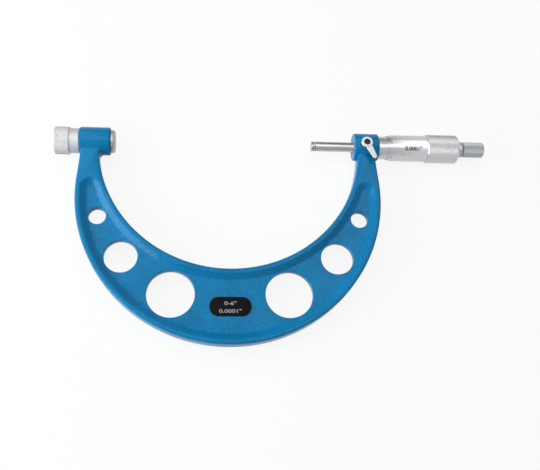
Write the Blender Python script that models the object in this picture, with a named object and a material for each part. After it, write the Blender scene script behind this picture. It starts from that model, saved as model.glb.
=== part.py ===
"""Outside micrometer for 5 to 6 inches, with a cast bow and an adjustable anvil.

Metres, +Z up. The micrometer lies on its back. X runs along the measuring axis from the anvil to the
ratchet, Y from the belly of the bow up to that axis, and Z out of the front face. Pieces are placed from
the point of the measuring axis above the middle of the bow. One empty carries that point, set so that
the thimble's grip touches Z = 0 and the outline is centred on the origin.
"""
import math

import bmesh
import bpy
from mathutils import Vector

# Range: the faces stand one gap apart with the thimble at zero, and open by the travel
MEASURING_GAP = 0.1270
TRAVEL = 0.0254
SPINDLE_STANDOUT = 0.0278

# Clearances
SEAT_GAP = 0.0003
SEAT_FIT = 0.00015
RUNNING_FIT = 0.0002
ADHESIVE = 0.0001
MERGE = 1e-7

# Bow: an inner arc that spans the bosses, and an outer arc set off from it at the side and the bottom
BOW_INNER_CENTRE_Y = -0.0020
BOW_SIDE_WIDTH = 0.0132
BOW_BOTTOM_WIDTH = 0.0470
BOW_THICKNESS = 0.0110
BOW_EDGE_RADIUS = 0.0013
INNER_ARC_STEPS = 18
OUTER_ARC_STEPS = 22

# Necks that carry the bosses
NECK_WIDTH = 0.0111
NECK_TAPER_LENGTH = 0.0150
NECK_ROOT_DEPTH = 0.0045
NECK_FILLET = 0.0030
NECK_SINK = 0.0001
FILLET_STEPS = 3

# Pockets in both faces of the bow, with lightening holes through the web between them
WEB_THICKNESS = 0.0050
RIM_WIDTH = 0.0030
SLOPE_WIDTH = 0.0037
POCKET_ROUNDING = 0.0008
POCKET_END_ANGLE = math.radians(9.3)
POCKET_END_STEPS = 6
HOLE_ANGLES = [math.radians(angle) for angle in (21.3, 40.7, 65.8)]
HOLE_STEPS = (20, 28, 36)
HOLE_FLARE = 0.0004
HOLE_MARGIN = 0.0001

# Bosses at the ends of the bow
BOSS_RADIUS = 0.0090
BOSS_EDGE_RADIUS = 0.0009
LEFT_BOSS_LENGTH = 0.0195
LEFT_BOSS_OVERHANG = 0.0071
RIGHT_BOSS_LENGTH = 0.0162
RIGHT_BOSS_OVERHANG = 0.0023
RIGHT_BOSS_WALL = 0.0020

# Label plate on the web
PLATE_LENGTH = 0.0254
PLATE_WIDTH = 0.0119
PLATE_CORNER = 0.0055
PLATE_THICKNESS = 0.0006

# Anvil, clamped in a flanged bush by two nuts under a knurled cap nut
ANVIL_RADIUS = 0.0040
ANVIL_STANDOUT = 0.0003
ANVIL_TIP_LENGTH = 0.0020
FLANGE_RADIUS = 0.00735
FLANGE_THICKNESS = 0.0024
FLANGE_CHAMFER = 0.0009
BUSH_RADIUS = 0.0060
BUSH_STANDOUT = 0.0088
RING_NUT_RADIUS = 0.0056
RING_NUT_LENGTH = 0.0018
WASHER_THICKNESS = 0.0006
CAP_RADIUS = 0.0089
CAP_LENGTH = 0.0092
CAP_CHAMFER = 0.0004
CAP_END_WALL = 0.0013
CAP_SKIRT_RADIUS = 0.0080
CAP_ROWS = 5

# Spindle, guided and threaded in the inner sleeve
SPINDLE_RADIUS = 0.003175
SPINDLE_TIP_LENGTH = 0.0022
SPINDLE_CHAMFER = 0.0003
THREAD_RADIUS = 0.0038
THREAD_RELIEF = 0.0006
GUIDE_LENGTH = 0.0118
NUT_THREAD_LENGTH = 0.0160
INNER_SLEEVE_RADIUS = 0.0055
ADJUSTING_NUT_RADIUS = 0.0071
ADJUSTING_NUT_LENGTH = 0.0048
TAPER_LENGTH = 0.0040
TAPER_END_RADIUS = 0.0030

# Graduated sleeve and thimble
SLEEVE_RADIUS = 0.0075
SLEEVE_SHOWING = 0.0059
SLEEVE_OVERLAP = 0.0030
THIMBLE_RADIUS = 0.0086
THIMBLE_CLEARANCE = 0.00025
THIMBLE_LIP = 0.0001
BEVEL_LENGTH = 0.0032
PLAIN_LENGTH = 0.0235
GRIP_RADIUS = 0.0094
GRIP_LENGTH = 0.0211
GRIP_STEP = 0.0004
GRIP_CHAMFER = 0.0010
GRIP_ROWS = 13
KNURL_DEPTH = 0.0003
THIMBLE_END_WALL = 0.0076

# Ratchet stop on the end of the thimble
COLLAR_RADIUS = 0.00515
COLLAR_LENGTH = 0.0033
COLLAR_CHAMFER = 0.0004
SPIGOT_LENGTH = 0.0026
KNOB_RADIUS = 0.0050
KNOB_LENGTH = 0.0144
KNOB_CHAMFER = 0.0007
KNOB_WALL = 0.0014
KNOB_END_WALL = 0.0022
FLUTE_DEPTH = 0.00025
WHEEL_LENGTH = 0.0017
SAW_TEETH = 9
SAW_DEPTH = 0.0005
SAW_PLINTH = 0.0002
SPRING_RADIUS = 0.0025
SPRING_WIRE_RADIUS = 0.0003
SPRING_TURNS = 4
SPRING_STEPS = 10
SCREW_RADIUS = 0.0015
SCREW_DEPTH = 0.0070
SCREW_HEAD_RADIUS = 0.0024
SCREW_HEAD_LENGTH = 0.0010
SCREW_HEAD_RECESS = 0.0003
SLOT_WIDTH = 0.0006
SLOT_DEPTH = 0.0005

# Spindle lock: a stud through the boss presses a pad on the spindle when the lever turns it
LOCK_SETBACK = 0.0074
LOCK_DROP = 0.0011
LOCK_FACE_Z = 0.0083
STUD_RADIUS = 0.0019
STUD_SPIGOT_RADIUS = 0.0013
PAD_LENGTH = 0.0018
LEVER_HUB_RADIUS = 0.0038
LEVER_HUB_HEIGHT = 0.0029
LEVER_HUB_CHAMFER = 0.0004
LEVER_REACH = 0.0108
LEVER_ROOT_RADIUS = 0.0025
LEVER_TIP_RADIUS = 0.0015
LEVER_ARM_LIFT = 0.0007
LEVER_ARM_THICKNESS = 0.0019
LEVER_ARM_ROUNDING = 0.0004
LEVER_ANGLE = math.radians(-65)
LOCK_HEAD_RADIUS = 0.0020
LOCK_HEAD_HEIGHT = 0.0007
LOCK_HEAD_RECESS = 0.0002
LOCK_SHANK_RADIUS = 0.0008
LOCK_SHANK_LENGTH = 0.0028
HEX_RADIUS = 0.0011
HEX_DEPTH = 0.0004

# Segments of turned pieces: those in plain view, then those inside or small
ROUND_STEPS = 36
INSIDE_STEPS = 24

# The bow spans the gap, what stands out of the bosses into it, and the bosses' overhangs
ANVIL_REACH = SEAT_GAP + FLANGE_THICKNESS + ANVIL_STANDOUT
BOSS_SPAN = ANVIL_REACH + MEASURING_GAP + SPINDLE_STANDOUT
BOW_INNER_RADIUS = (BOSS_SPAN + LEFT_BOSS_OVERHANG + RIGHT_BOSS_OVERHANG) / 2
BOW_OUTER_RADIUS = BOW_INNER_RADIUS + BOW_SIDE_WIDTH
BOW_BOTTOM_Y = BOW_INNER_CENTRE_Y - BOW_INNER_RADIUS - BOW_BOTTOM_WIDTH
BOW_OUTER_CENTRE_Y = BOW_BOTTOM_Y + BOW_OUTER_RADIUS
NECK_OUTER_X = BOW_INNER_RADIUS + NECK_WIDTH

# Stations along the measuring axis, which follow from the sizes above
LEFT_BOSS_X = LEFT_BOSS_OVERHANG - BOW_INNER_RADIUS
FLANGE_X = LEFT_BOSS_X + SEAT_GAP + FLANGE_THICKNESS
ANVIL_FACE_X = FLANGE_X + ANVIL_STANDOUT
SPINDLE_FACE_X = ANVIL_FACE_X + MEASURING_GAP
RIGHT_BOSS_X = SPINDLE_FACE_X + SPINDLE_STANDOUT
LEFT_BOSS_END_X = LEFT_BOSS_X - LEFT_BOSS_LENGTH
BUSH_END_X = LEFT_BOSS_END_X - BUSH_STANDOUT
SETTING_NUT_END_X = BUSH_END_X - SEAT_GAP - RING_NUT_LENGTH
ANVIL_END_X = SETTING_NUT_END_X - SEAT_GAP - RING_NUT_LENGTH
WASHER_END_X = ANVIL_END_X - SEAT_GAP - WASHER_THICKNESS
CAP_END_X = WASHER_END_X - SEAT_GAP - CAP_END_WALL
RIGHT_BOSS_END_X = RIGHT_BOSS_X + RIGHT_BOSS_LENGTH
LOCK_X = RIGHT_BOSS_X + LOCK_SETBACK
INNER_SLEEVE_X = RIGHT_BOSS_X + RIGHT_BOSS_WALL + SEAT_GAP
GUIDE_END_X = INNER_SLEEVE_X + GUIDE_LENGTH
THREAD_X = GUIDE_END_X + THREAD_RELIEF
NUT_THREAD_X = THREAD_X + TRAVEL + THREAD_RELIEF
INNER_SLEEVE_END_X = NUT_THREAD_X + NUT_THREAD_LENGTH
THIMBLE_X = RIGHT_BOSS_END_X + SLEEVE_SHOWING
SLEEVE_END_X = THIMBLE_X + TRAVEL + SLEEVE_OVERLAP
GRIP_X = THIMBLE_X + BEVEL_LENGTH + PLAIN_LENGTH
THIMBLE_END_X = GRIP_X + GRIP_LENGTH
THIMBLE_WALL_X = THIMBLE_END_X - THIMBLE_END_WALL
SPINDLE_END_X = THIMBLE_WALL_X + TAPER_LENGTH
COLLAR_X = THIMBLE_END_X + SEAT_GAP
COLLAR_END_X = COLLAR_X + COLLAR_LENGTH
KNOB_X = COLLAR_END_X + SEAT_GAP
KNOB_END_X = KNOB_X + KNOB_LENGTH
SAW_X = COLLAR_END_X + SAW_PLINTH
WHEEL_X = SAW_X + 2 * SAW_DEPTH + SEAT_GAP
WHEEL_END_X = WHEEL_X + WHEEL_LENGTH
SCREW_HEAD_X = KNOB_END_X - SCREW_HEAD_RECESS - SCREW_HEAD_LENGTH
COUNTERBORE_X = SCREW_HEAD_X - SEAT_GAP
CAVITY_END_X = COUNTERBORE_X - KNOB_END_WALL

# Radii that one piece takes from another
THIMBLE_BORE = SLEEVE_RADIUS + THIMBLE_CLEARANCE
KNOB_BORE = KNOB_RADIUS - KNOB_WALL
SAW_RADIUS = KNOB_BORE - RUNNING_FIT

# Heights of the spindle lock above the measuring axis
PAD_Z = SPINDLE_RADIUS + SEAT_GAP
STUD_Z = PAD_Z + PAD_LENGTH + SEAT_GAP
LEVER_Z = LOCK_FACE_Z + SEAT_GAP
LEVER_TOP_Z = LEVER_Z + LEVER_HUB_HEIGHT
LOCK_HEAD_Z = LEVER_TOP_Z - LOCK_HEAD_RECESS - LOCK_HEAD_HEIGHT
LEVER_STEP_Z = LOCK_HEAD_Z - SEAT_GAP

# A circle that touches both arcs of the bow has its centre on this ellipse, down the middle of the web
WEB_CENTRE_Y = (BOW_INNER_CENTRE_Y + BOW_OUTER_CENTRE_Y) / 2
WEB_HALF_HEIGHT = (BOW_INNER_RADIUS + BOW_OUTER_RADIUS) / 2
WEB_HALF_WIDTH = math.sqrt(WEB_HALF_HEIGHT**2 - (BOW_INNER_CENTRE_Y - WEB_CENTRE_Y) ** 2)


def clear_scene():
    """Empties the scene before the model is built."""
    for item in list(bpy.data.objects):
        bpy.data.objects.remove(item, do_unlink=True)


def surface(name, colour, roughness, metallic):
    """Makes a Principled material."""
    material = bpy.data.materials.new(name)
    material.use_nodes = True
    shader = material.node_tree.nodes["Principled BSDF"]
    shader.inputs["Base Color"].default_value = (*colour, 1.0)
    shader.inputs["Roughness"].default_value = roughness
    shader.inputs["Metallic"].default_value = metallic
    return material


def put(name, data, parent, location=(0.0, 0.0, 0.0)):
    """Links an object into the scene under its parent."""
    item = bpy.data.objects.new(name, data)
    bpy.context.scene.collection.objects.link(item)
    item.parent = parent
    item.location = location
    return item


def solid(name, bm, parent, material=None, location=(0.0, 0.0, 0.0), upright=False):
    """Puts a closed mesh into the scene; an upright one has its own X axis along Z."""
    bmesh.ops.recalc_face_normals(bm, faces=bm.faces)
    mesh = bpy.data.meshes.new(name)
    bm.to_mesh(mesh)
    bm.free()
    mesh.shade_smooth()
    mesh.set_sharp_from_angle(angle=math.radians(35))
    item = put(name, mesh, parent, location)
    if upright:
        item.rotation_euler = (0.0, -math.pi / 2, 0.0)
    if material:
        mesh.materials.append(material)
    return item


def combine(target, operation, helper):
    """Adds a hidden helper solid to a piece, or cuts it away."""
    helper.hide_render = True
    helper.display_type = "WIRE"
    modifier = target.modifiers.new(helper.name, "BOOLEAN")
    modifier.operation = operation
    modifier.solver = "EXACT"
    modifier.object = helper


def spaced(start, end, steps):
    """Evenly spaced values from start to end."""
    return [start + (end - start) * step / steps for step in range(steps + 1)]


def turned(profile, steps):
    """Spins (x, radius) points about the X axis.

    They make a ring, or a solid with flat ends where the first and the last lie on the axis.
    """
    bm = bmesh.new()
    verts = [bm.verts.new((x, 0.0, radius)) for x, radius in profile]
    following = verts[1:] + (verts[:1] if profile[0][1] else [])
    edges = [bm.edges.new(pair) for pair in zip(verts, following)]
    bmesh.ops.spin(
        bm, geom=verts + edges, cent=(0, 0, 0), axis=(1, 0, 0), angle=math.tau, steps=steps, use_merge=True
    )
    bmesh.ops.remove_doubles(bm, verts=bm.verts, dist=MERGE)
    on_axis = [vert for vert in bm.verts if vert.co.yz.length < MERGE]
    bmesh.ops.dissolve_verts(bm, verts=on_axis)
    return bm


def bar(start, end, radius, chamfer=0.0):
    """Profile of a solid bar, chamfered at both ends."""
    return [(start, 0.0)] + rim(start, end, radius, chamfer) + [(end, 0.0)]


def tube(start, end, radius, bore, chamfer=0.0):
    """Profile of a tube, chamfered outside at both ends."""
    return [(start, bore)] + rim(start, end, radius, chamfer) + [(end, bore)]


def rim(start, end, radius, chamfer):
    """Outer points of a bar or a tube."""
    if not chamfer:
        return [(start, radius), (end, radius)]
    low = radius - chamfer
    return [(start, low), (start + chamfer, radius), (end - chamfer, radius), (end, low)]


def column_of(vert, steps):
    """Which step of a turned mesh a vertex lies on."""
    return round(math.atan2(vert.co.y, vert.co.z) / math.tau * steps)


def at_radius(bm, radius, start, end):
    """Vertices of a turned mesh that lie at a radius, between two stations."""
    return {
        vert for vert in bm.verts
        if start - MERGE < vert.co.x < end + MERGE and abs(vert.co.yz.length - radius) < MERGE
    }


def press_diamonds(bm, radius, start, end, rows, steps):
    """Presses a diamond knurl into a turned band, where every second crossing of its grid goes in."""
    band = at_radius(bm, radius, start, end)
    faces = [face for face in bm.faces if band.issuperset(face.verts)]
    for vert in band:
        row = round((vert.co.x - start) / (end - start) * rows)
        if (row + column_of(vert, steps)) % 2:
            vert.co.yz *= 1 - KNURL_DEPTH / radius
    # the shorter diagonal joins two low corners, which leaves a pyramid on each high one
    bmesh.ops.triangulate(bm, faces=faces, quad_method="SHORT_EDGE")


def press_flutes(bm, radius, start, end, steps):
    """Presses straight flutes into a turned band."""
    for vert in at_radius(bm, radius, start, end):
        if column_of(vert, steps) % 2:
            vert.co.yz *= 1 - FLUTE_DEPTH / radius


def raise_saw_teeth(bm, face_x, side, steps):
    """Raises an end face of a turned mesh into saw teeth; side is 1 where it looks along +X and else -1."""
    per_tooth = steps // SAW_TEETH
    for vert in bm.verts:
        if abs(vert.co.x - face_x) < MERGE:
            rise = column_of(vert, steps) % per_tooth / (per_tooth - 1)
            vert.co.x += SAW_DEPTH * (rise if side > 0 else rise - 1)


def arc(centre, radius, start, end, steps):
    """Points of an arc in the XY plane, both ends included."""
    return [centre + radius * Vector((math.cos(a), math.sin(a))) for a in spaced(start, end, steps)]


def inset(loop, distance):
    """Moves the sides of a counter-clockwise loop of points inwards by a distance."""
    moved = []
    for before, here, after in zip(loop[-1:] + loop[:-1], loop, loop[1:] + loop[:1]):
        first = (here - before).orthogonal().normalized()
        second = (after - here).orthogonal().normalized()
        way = (first + second).normalized()
        moved.append(here + way * distance / way.dot(first))
    return moved


def loft(levels):
    """Closed solid through levels of (loop, z), whose loops have as many points as each other."""
    bm = bmesh.new()
    rings = [[bm.verts.new((point.x, point.y, z)) for point in loop] for loop, z in levels]
    for low, high in zip(rings, rings[1:]):
        for k in range(len(low)):
            bm.faces.new((low[k - 1], low[k], high[k], high[k - 1]))
    bm.faces.new(rings[0])
    bm.faces.new(rings[-1])
    return bm


def rounding(radius, steps=2):
    """Points of a rounded edge from the side up to the face, as (way in, way down)."""
    return [(radius * (1 - math.cos(a)), radius * (1 - math.sin(a))) for a in spaced(0, math.pi / 2, steps)]


def mirrored(points):
    """The same points on the other side of the middle line, in the opposite order."""
    return [Vector((-point.x, point.y)) for point in reversed(points)]


def half_bow(boss_x, boss_end_x, z):
    """Right half of the bow's outline at a height, from the middle of its inner arc over the neck and back.

    The neck meets the underside of the round boss at that height in a fillet on each side, as wide as
    the boss leaves room for. The fillets sink a little into the boss, and the neck ends inside it.
    """
    boss_y = NECK_SINK - math.sqrt(BOSS_RADIUS**2 - z**2)
    inner_centre = Vector((0, BOW_INNER_CENTRE_Y))
    outer_centre = Vector((0, BOW_OUTER_CENTRE_Y))
    overhang = BOW_INNER_RADIUS - boss_x - 2 * BOSS_EDGE_RADIUS
    inner_fillet = max(min(NECK_FILLET, overhang), 2 * MERGE)
    outer_fillet = max(min(NECK_FILLET, boss_end_x - NECK_OUTER_X - BOSS_EDGE_RADIUS), 2 * MERGE)

    inner_end = math.asin((boss_y - inner_fillet - BOW_INNER_CENTRE_Y) / BOW_INNER_RADIUS)
    points = arc(inner_centre, BOW_INNER_RADIUS, -math.pi / 2, inner_end, INNER_ARC_STEPS)
    points += arc(points[-1] - Vector((inner_fillet, 0)), inner_fillet, 0, math.pi / 2, FILLET_STEPS)[1:]
    points.append(Vector((points[-1].x, -NECK_ROOT_DEPTH)))

    fillet_centre = Vector((NECK_OUTER_X + outer_fillet, boss_y - outer_fillet))
    points.append(Vector((fillet_centre.x, -NECK_ROOT_DEPTH)))
    points += arc(fillet_centre, outer_fillet, math.pi / 2, math.pi, FILLET_STEPS)
    taper_y = -BOSS_RADIUS - NECK_TAPER_LENGTH
    outer_end = math.asin((taper_y - BOW_OUTER_CENTRE_Y) / BOW_OUTER_RADIUS)
    return points + arc(outer_centre, BOW_OUTER_RADIUS, outer_end, -math.pi / 2, OUTER_ARC_STEPS)


def bow_outline(z):
    """Counter-clockwise outline of the bow at a height."""
    right = half_bow(RIGHT_BOSS_X, RIGHT_BOSS_END_X, z)
    left = mirrored(half_bow(-LEFT_BOSS_X, -LEFT_BOSS_END_X, z))
    return list(reversed(right[1:] + left[1:]))


def bow_plate():
    """The bow before its pockets are cut, with both edges rounded."""
    half = BOW_THICKNESS / 2
    edge = [(way_in, half - down) for way_in, down in rounding(BOW_EDGE_RADIUS)]
    levels = [(way_in, -z) for way_in, z in reversed(edge)] + [(0.0, 0.0)] + edge
    return loft([(inset(bow_outline(z), way_in), z) for way_in, z in levels])


def web_point(angle):
    """Middle of the web at an angle, and how far it is from the edges of the bow."""
    middle = Vector((WEB_HALF_WIDTH * math.cos(angle), WEB_CENTRE_Y - WEB_HALF_HEIGHT * math.sin(angle)))
    return middle, (middle - Vector((0, BOW_INNER_CENTRE_Y))).length - BOW_INNER_RADIUS


def pocket_outline():
    """Counter-clockwise outline of a pocket at its lip, whose round ends touch the rims on both sides."""
    inner_centre = Vector((0, BOW_INNER_CENTRE_Y))
    outer_centre = Vector((0, BOW_OUTER_CENTRE_Y))
    middle, half_width = web_point(POCKET_END_ANGLE)
    inward = middle - inner_centre
    outward = middle - outer_centre
    inner_end = math.atan2(inward.y, inward.x)
    outer_end = math.atan2(outward.y, outward.x)
    half = arc(inner_centre, BOW_INNER_RADIUS + RIM_WIDTH, -math.pi / 2, inner_end, INNER_ARC_STEPS)
    half += arc(middle, half_width - RIM_WIDTH, inner_end + math.pi, outer_end, POCKET_END_STEPS)[1:-1]
    half += arc(outer_centre, BOW_OUTER_RADIUS - RIM_WIDTH, outer_end, -math.pi / 2, OUTER_ARC_STEPS)
    return list(reversed(half[1:] + mirrored(half)[1:]))


def pocket(side):
    """Hollow of a pocket: a sloping wall, rounded at its lip and its foot, down to the flat web."""
    outline = pocket_outline()
    face, floor = BOW_THICKNESS / 2, WEB_THICKNESS / 2
    ease = POCKET_ROUNDING * (face - floor) / SLOPE_WIDTH / 2
    levels = [
        (0.0, face + POCKET_ROUNDING),
        (0.0, face),
        (POCKET_ROUNDING, face - ease),
        (SLOPE_WIDTH - POCKET_ROUNDING, floor + ease),
        (SLOPE_WIDTH, floor),
    ]
    return loft([(inset(outline, way_in), side * z) for way_in, z in levels])


def hole_profile(half_width):
    """Profile of a lightening hole, which spans the web's floor and flares at both of its faces."""
    mouth = half_width - RIM_WIDTH - SLOPE_WIDTH - HOLE_MARGIN
    face = WEB_THICKNESS / 2
    upper = [(face - HOLE_FLARE, mouth - HOLE_FLARE), (face, mouth), (BOW_THICKNESS / 2, mouth)]
    lower = [(-x, radius) for x, radius in reversed(upper)]
    return [(lower[0][0], 0.0)] + lower + upper + [(upper[-1][0], 0.0)]


def boss_profile(start, end):
    """Profile of a boss with rounded ends."""
    edge = [(down, BOSS_RADIUS - way_in) for way_in, down in reversed(rounding(BOSS_EDGE_RADIUS))]
    first = [(start + x, radius) for x, radius in edge]
    last = [(end - x, radius) for x, radius in reversed(edge)]
    return [(start, 0.0)] + first + last + [(end, 0.0)]


def make_frame(root, paint):
    """The cast bow: plate, pockets and holes first, then the bosses and their bores."""
    frame = solid("frame", bow_plate(), root, paint)
    for side in (1, -1):
        combine(frame, "DIFFERENCE", solid("pocket_cut", pocket(side), root))
    for angle, steps in zip(HOLE_ANGLES, HOLE_STEPS):
        middle, half_width = web_point(angle)
        for side in (1, -1):
            cut = turned(hole_profile(half_width), steps)
            place = (side * middle.x, middle.y, 0.0)
            combine(frame, "DIFFERENCE", solid("hole_cut", cut, root, location=place, upright=True))
    for start, end in ((LEFT_BOSS_END_X, LEFT_BOSS_X), (RIGHT_BOSS_X, RIGHT_BOSS_END_X)):
        combine(frame, "UNION", solid("boss", turned(boss_profile(start, end), ROUND_STEPS), root))
    left_bore = bar(LEFT_BOSS_END_X - SEAT_GAP, LEFT_BOSS_X + SEAT_GAP, BUSH_RADIUS + SEAT_FIT)
    shoulder_x = RIGHT_BOSS_X + RIGHT_BOSS_WALL
    right_bore = [
        (RIGHT_BOSS_X - SEAT_GAP, 0.0),
        (RIGHT_BOSS_X - SEAT_GAP, SPINDLE_RADIUS + RUNNING_FIT),
        (shoulder_x, SPINDLE_RADIUS + RUNNING_FIT),
        (shoulder_x, INNER_SLEEVE_RADIUS + SEAT_FIT),
        (RIGHT_BOSS_END_X + SEAT_GAP, INNER_SLEEVE_RADIUS + SEAT_FIT),
        (RIGHT_BOSS_END_X + SEAT_GAP, 0.0),
    ]
    for profile in (left_bore, right_bore):
        combine(frame, "DIFFERENCE", solid("bore_cut", turned(profile, ROUND_STEPS), root))
    lock_cut = [
        (0.0, 0.0),
        (0.0, STUD_RADIUS + RUNNING_FIT),
        (LOCK_FACE_Z, STUD_RADIUS + RUNNING_FIT),
        (LOCK_FACE_Z, LEVER_HUB_RADIUS + RUNNING_FIT),
        (BOSS_RADIUS + SEAT_GAP, LEVER_HUB_RADIUS + RUNNING_FIT),
        (BOSS_RADIUS + SEAT_GAP, 0.0),
    ]
    place = (LOCK_X, -LOCK_DROP, 0.0)
    cutter = solid("lock_cut", turned(lock_cut, INSIDE_STEPS), root, location=place, upright=True)
    combine(frame, "DIFFERENCE", cutter)
    return cutter


def make_label_plate(root, enamel):
    """The plate glued to the web at the bottom of the bow."""
    across, up = PLATE_LENGTH / 2 - PLATE_CORNER, PLATE_WIDTH / 2 - PLATE_CORNER
    corners = ((across, -up, -0.25), (across, up, 0.0), (-across, up, 0.25), (-across, -up, 0.5))
    loop = []
    for x, y, turn in corners:
        start = turn * math.tau
        loop += arc(Vector((x, y)), PLATE_CORNER, start, start + math.pi / 2, 4)
    low = WEB_THICKNESS / 2 + ADHESIVE
    place = (0.0, WEB_CENTRE_Y - WEB_HALF_HEIGHT, 0.0)
    solid("label_plate", loft([(loop, low), (loop, low + PLATE_THICKNESS)]), root, enamel, place)


def make_anvil(root, chrome, steel, carbide):
    """The anvil rod with its tip, the flanged bush that holds it and the two nuts on its thread."""
    bore = ANVIL_RADIUS + SEAT_FIT
    bush = [
        (BUSH_END_X, bore),
        (BUSH_END_X, BUSH_RADIUS),
        (FLANGE_X - FLANGE_THICKNESS, BUSH_RADIUS),
        (FLANGE_X - FLANGE_THICKNESS, FLANGE_RADIUS),
        (FLANGE_X - FLANGE_CHAMFER, FLANGE_RADIUS),
        (FLANGE_X, FLANGE_RADIUS - FLANGE_CHAMFER),
        (FLANGE_X, bore),
    ]
    solid("anvil_bush", turned(bush, ROUND_STEPS), root, chrome)
    tip_x = ANVIL_FACE_X - ANVIL_TIP_LENGTH
    rod = bar(ANVIL_END_X, tip_x - SEAT_GAP, ANVIL_RADIUS)
    solid("anvil", turned(rod, INSIDE_STEPS), root, steel)
    tip = bar(tip_x, ANVIL_FACE_X, ANVIL_RADIUS, SPINDLE_CHAMFER)
    solid("anvil_tip", turned(tip, INSIDE_STEPS), root, carbide)
    for name, end in (("anvil_setting_nut", SETTING_NUT_END_X), ("anvil_lock_nut", ANVIL_END_X)):
        nut = tube(end, end + RING_NUT_LENGTH, RING_NUT_RADIUS, bore)
        solid(name, turned(nut, INSIDE_STEPS), root, steel)


def make_anvil_cap(root, chrome, steel):
    """The knurled cap nut on the bush's thread, and the washer inside it that bears on the anvil."""
    slide = put("washer_slide", None, root)
    washer = bar(WASHER_END_X, WASHER_END_X + WASHER_THICKNESS, RING_NUT_RADIUS)
    solid("anvil_washer", turned(washer, INSIDE_STEPS), slide, steel)
    turn = put("cap_turn", None, slide)
    bore = BUSH_RADIUS + RUNNING_FIT
    skirt_end = LEFT_BOSS_END_X - SEAT_GAP
    head_end = CAP_END_X + CAP_LENGTH
    knurl_start, knurl_end = CAP_END_X + CAP_CHAMFER, head_end - CAP_CHAMFER
    cap = [(CAP_END_X, 0.0), (CAP_END_X, CAP_RADIUS - CAP_CHAMFER)]
    cap += [(x, CAP_RADIUS) for x in spaced(knurl_start, knurl_end, CAP_ROWS)]
    cap += [
        (head_end, CAP_RADIUS - CAP_CHAMFER),
        (head_end, CAP_SKIRT_RADIUS),
        (skirt_end, CAP_SKIRT_RADIUS),
        (skirt_end, bore),
        (WASHER_END_X - SEAT_GAP, bore),
        (WASHER_END_X - SEAT_GAP, 0.0),
    ]
    bm = turned(cap, ROUND_STEPS)
    press_diamonds(bm, CAP_RADIUS, knurl_start, knurl_end, CAP_ROWS, ROUND_STEPS)
    solid("anvil_cap_nut", bm, turn, chrome)


def make_sleeves(root, chrome, steel, lock_cut):
    """The inner sleeve with its adjusting nut, and the graduated sleeve over it."""
    guide = SPINDLE_RADIUS + SEAT_FIT
    thread = THREAD_RADIUS + SEAT_FIT
    inner = tube(INNER_SLEEVE_X, INNER_SLEEVE_END_X, INNER_SLEEVE_RADIUS, guide)[:-1]
    inner += [
        (INNER_SLEEVE_END_X, thread),
        (NUT_THREAD_X, thread),
        (NUT_THREAD_X, thread + RUNNING_FIT),
        (GUIDE_END_X, thread + RUNNING_FIT),
        (GUIDE_END_X, guide),
    ]
    sleeve = solid("inner_sleeve", turned(inner, INSIDE_STEPS), root, steel)
    combine(sleeve, "DIFFERENCE", lock_cut)
    bore = INNER_SLEEVE_RADIUS + SEAT_FIT
    outer = tube(RIGHT_BOSS_END_X + SEAT_GAP, SLEEVE_END_X, SLEEVE_RADIUS, bore)
    solid("sleeve", turned(outer, ROUND_STEPS), root, chrome)
    nut_x = SLEEVE_END_X + SEAT_GAP
    nut = tube(nut_x, nut_x + ADJUSTING_NUT_LENGTH, ADJUSTING_NUT_RADIUS, bore)
    solid("adjusting_nut", turned(nut, INSIDE_STEPS), root, steel)


def make_spindle(slide, steel, carbide):
    """The spindle, from its tip through guide and thread to the taper that the thimble sits on."""
    tip_end = SPINDLE_FACE_X + SPINDLE_TIP_LENGTH
    tip = bar(SPINDLE_FACE_X, tip_end, SPINDLE_RADIUS, SPINDLE_CHAMFER)
    solid("spindle_tip", turned(tip, ROUND_STEPS), slide, carbide)
    hole = SCREW_RADIUS + RUNNING_FIT
    hole_end = SPINDLE_END_X - SCREW_DEPTH - SEAT_GAP
    spindle = [
        (tip_end + SEAT_GAP, 0.0),
        (tip_end + SEAT_GAP, SPINDLE_RADIUS),
        (THREAD_X, SPINDLE_RADIUS),
        (THREAD_X, THREAD_RADIUS),
        (THIMBLE_WALL_X, THREAD_RADIUS),
        (SPINDLE_END_X, TAPER_END_RADIUS),
        (SPINDLE_END_X, hole),
        (hole_end, hole),
        (hole_end, 0.0),
    ]
    solid("spindle", turned(spindle, ROUND_STEPS), slide, steel)


def make_thimble(turn, chrome):
    """The thimble: a bevelled front edge, a plain barrel and a knurled grip."""
    seat = TAPER_END_RADIUS + RUNNING_FIT
    grip_start, grip_end = GRIP_X + GRIP_STEP, THIMBLE_END_X - GRIP_CHAMFER
    thimble = [
        (THIMBLE_X, THIMBLE_BORE),
        (THIMBLE_X, THIMBLE_BORE + THIMBLE_LIP),
        (THIMBLE_X + BEVEL_LENGTH, THIMBLE_RADIUS),
        (GRIP_X, THIMBLE_RADIUS),
        (GRIP_X, GRIP_RADIUS - GRIP_STEP),
    ]
    thimble += [(x, GRIP_RADIUS) for x in spaced(grip_start, grip_end, GRIP_ROWS)]
    thimble += [
        (THIMBLE_END_X, GRIP_RADIUS - GRIP_CHAMFER),
        (THIMBLE_END_X, seat),
        (SPINDLE_END_X, seat),
        (THIMBLE_WALL_X, THREAD_RADIUS + RUNNING_FIT),
        (THIMBLE_WALL_X, THIMBLE_BORE),
    ]
    bm = turned(thimble, ROUND_STEPS)
    press_diamonds(bm, GRIP_RADIUS, grip_start, grip_end, GRIP_ROWS, ROUND_STEPS)
    solid("thimble", bm, turn, chrome)


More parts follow.
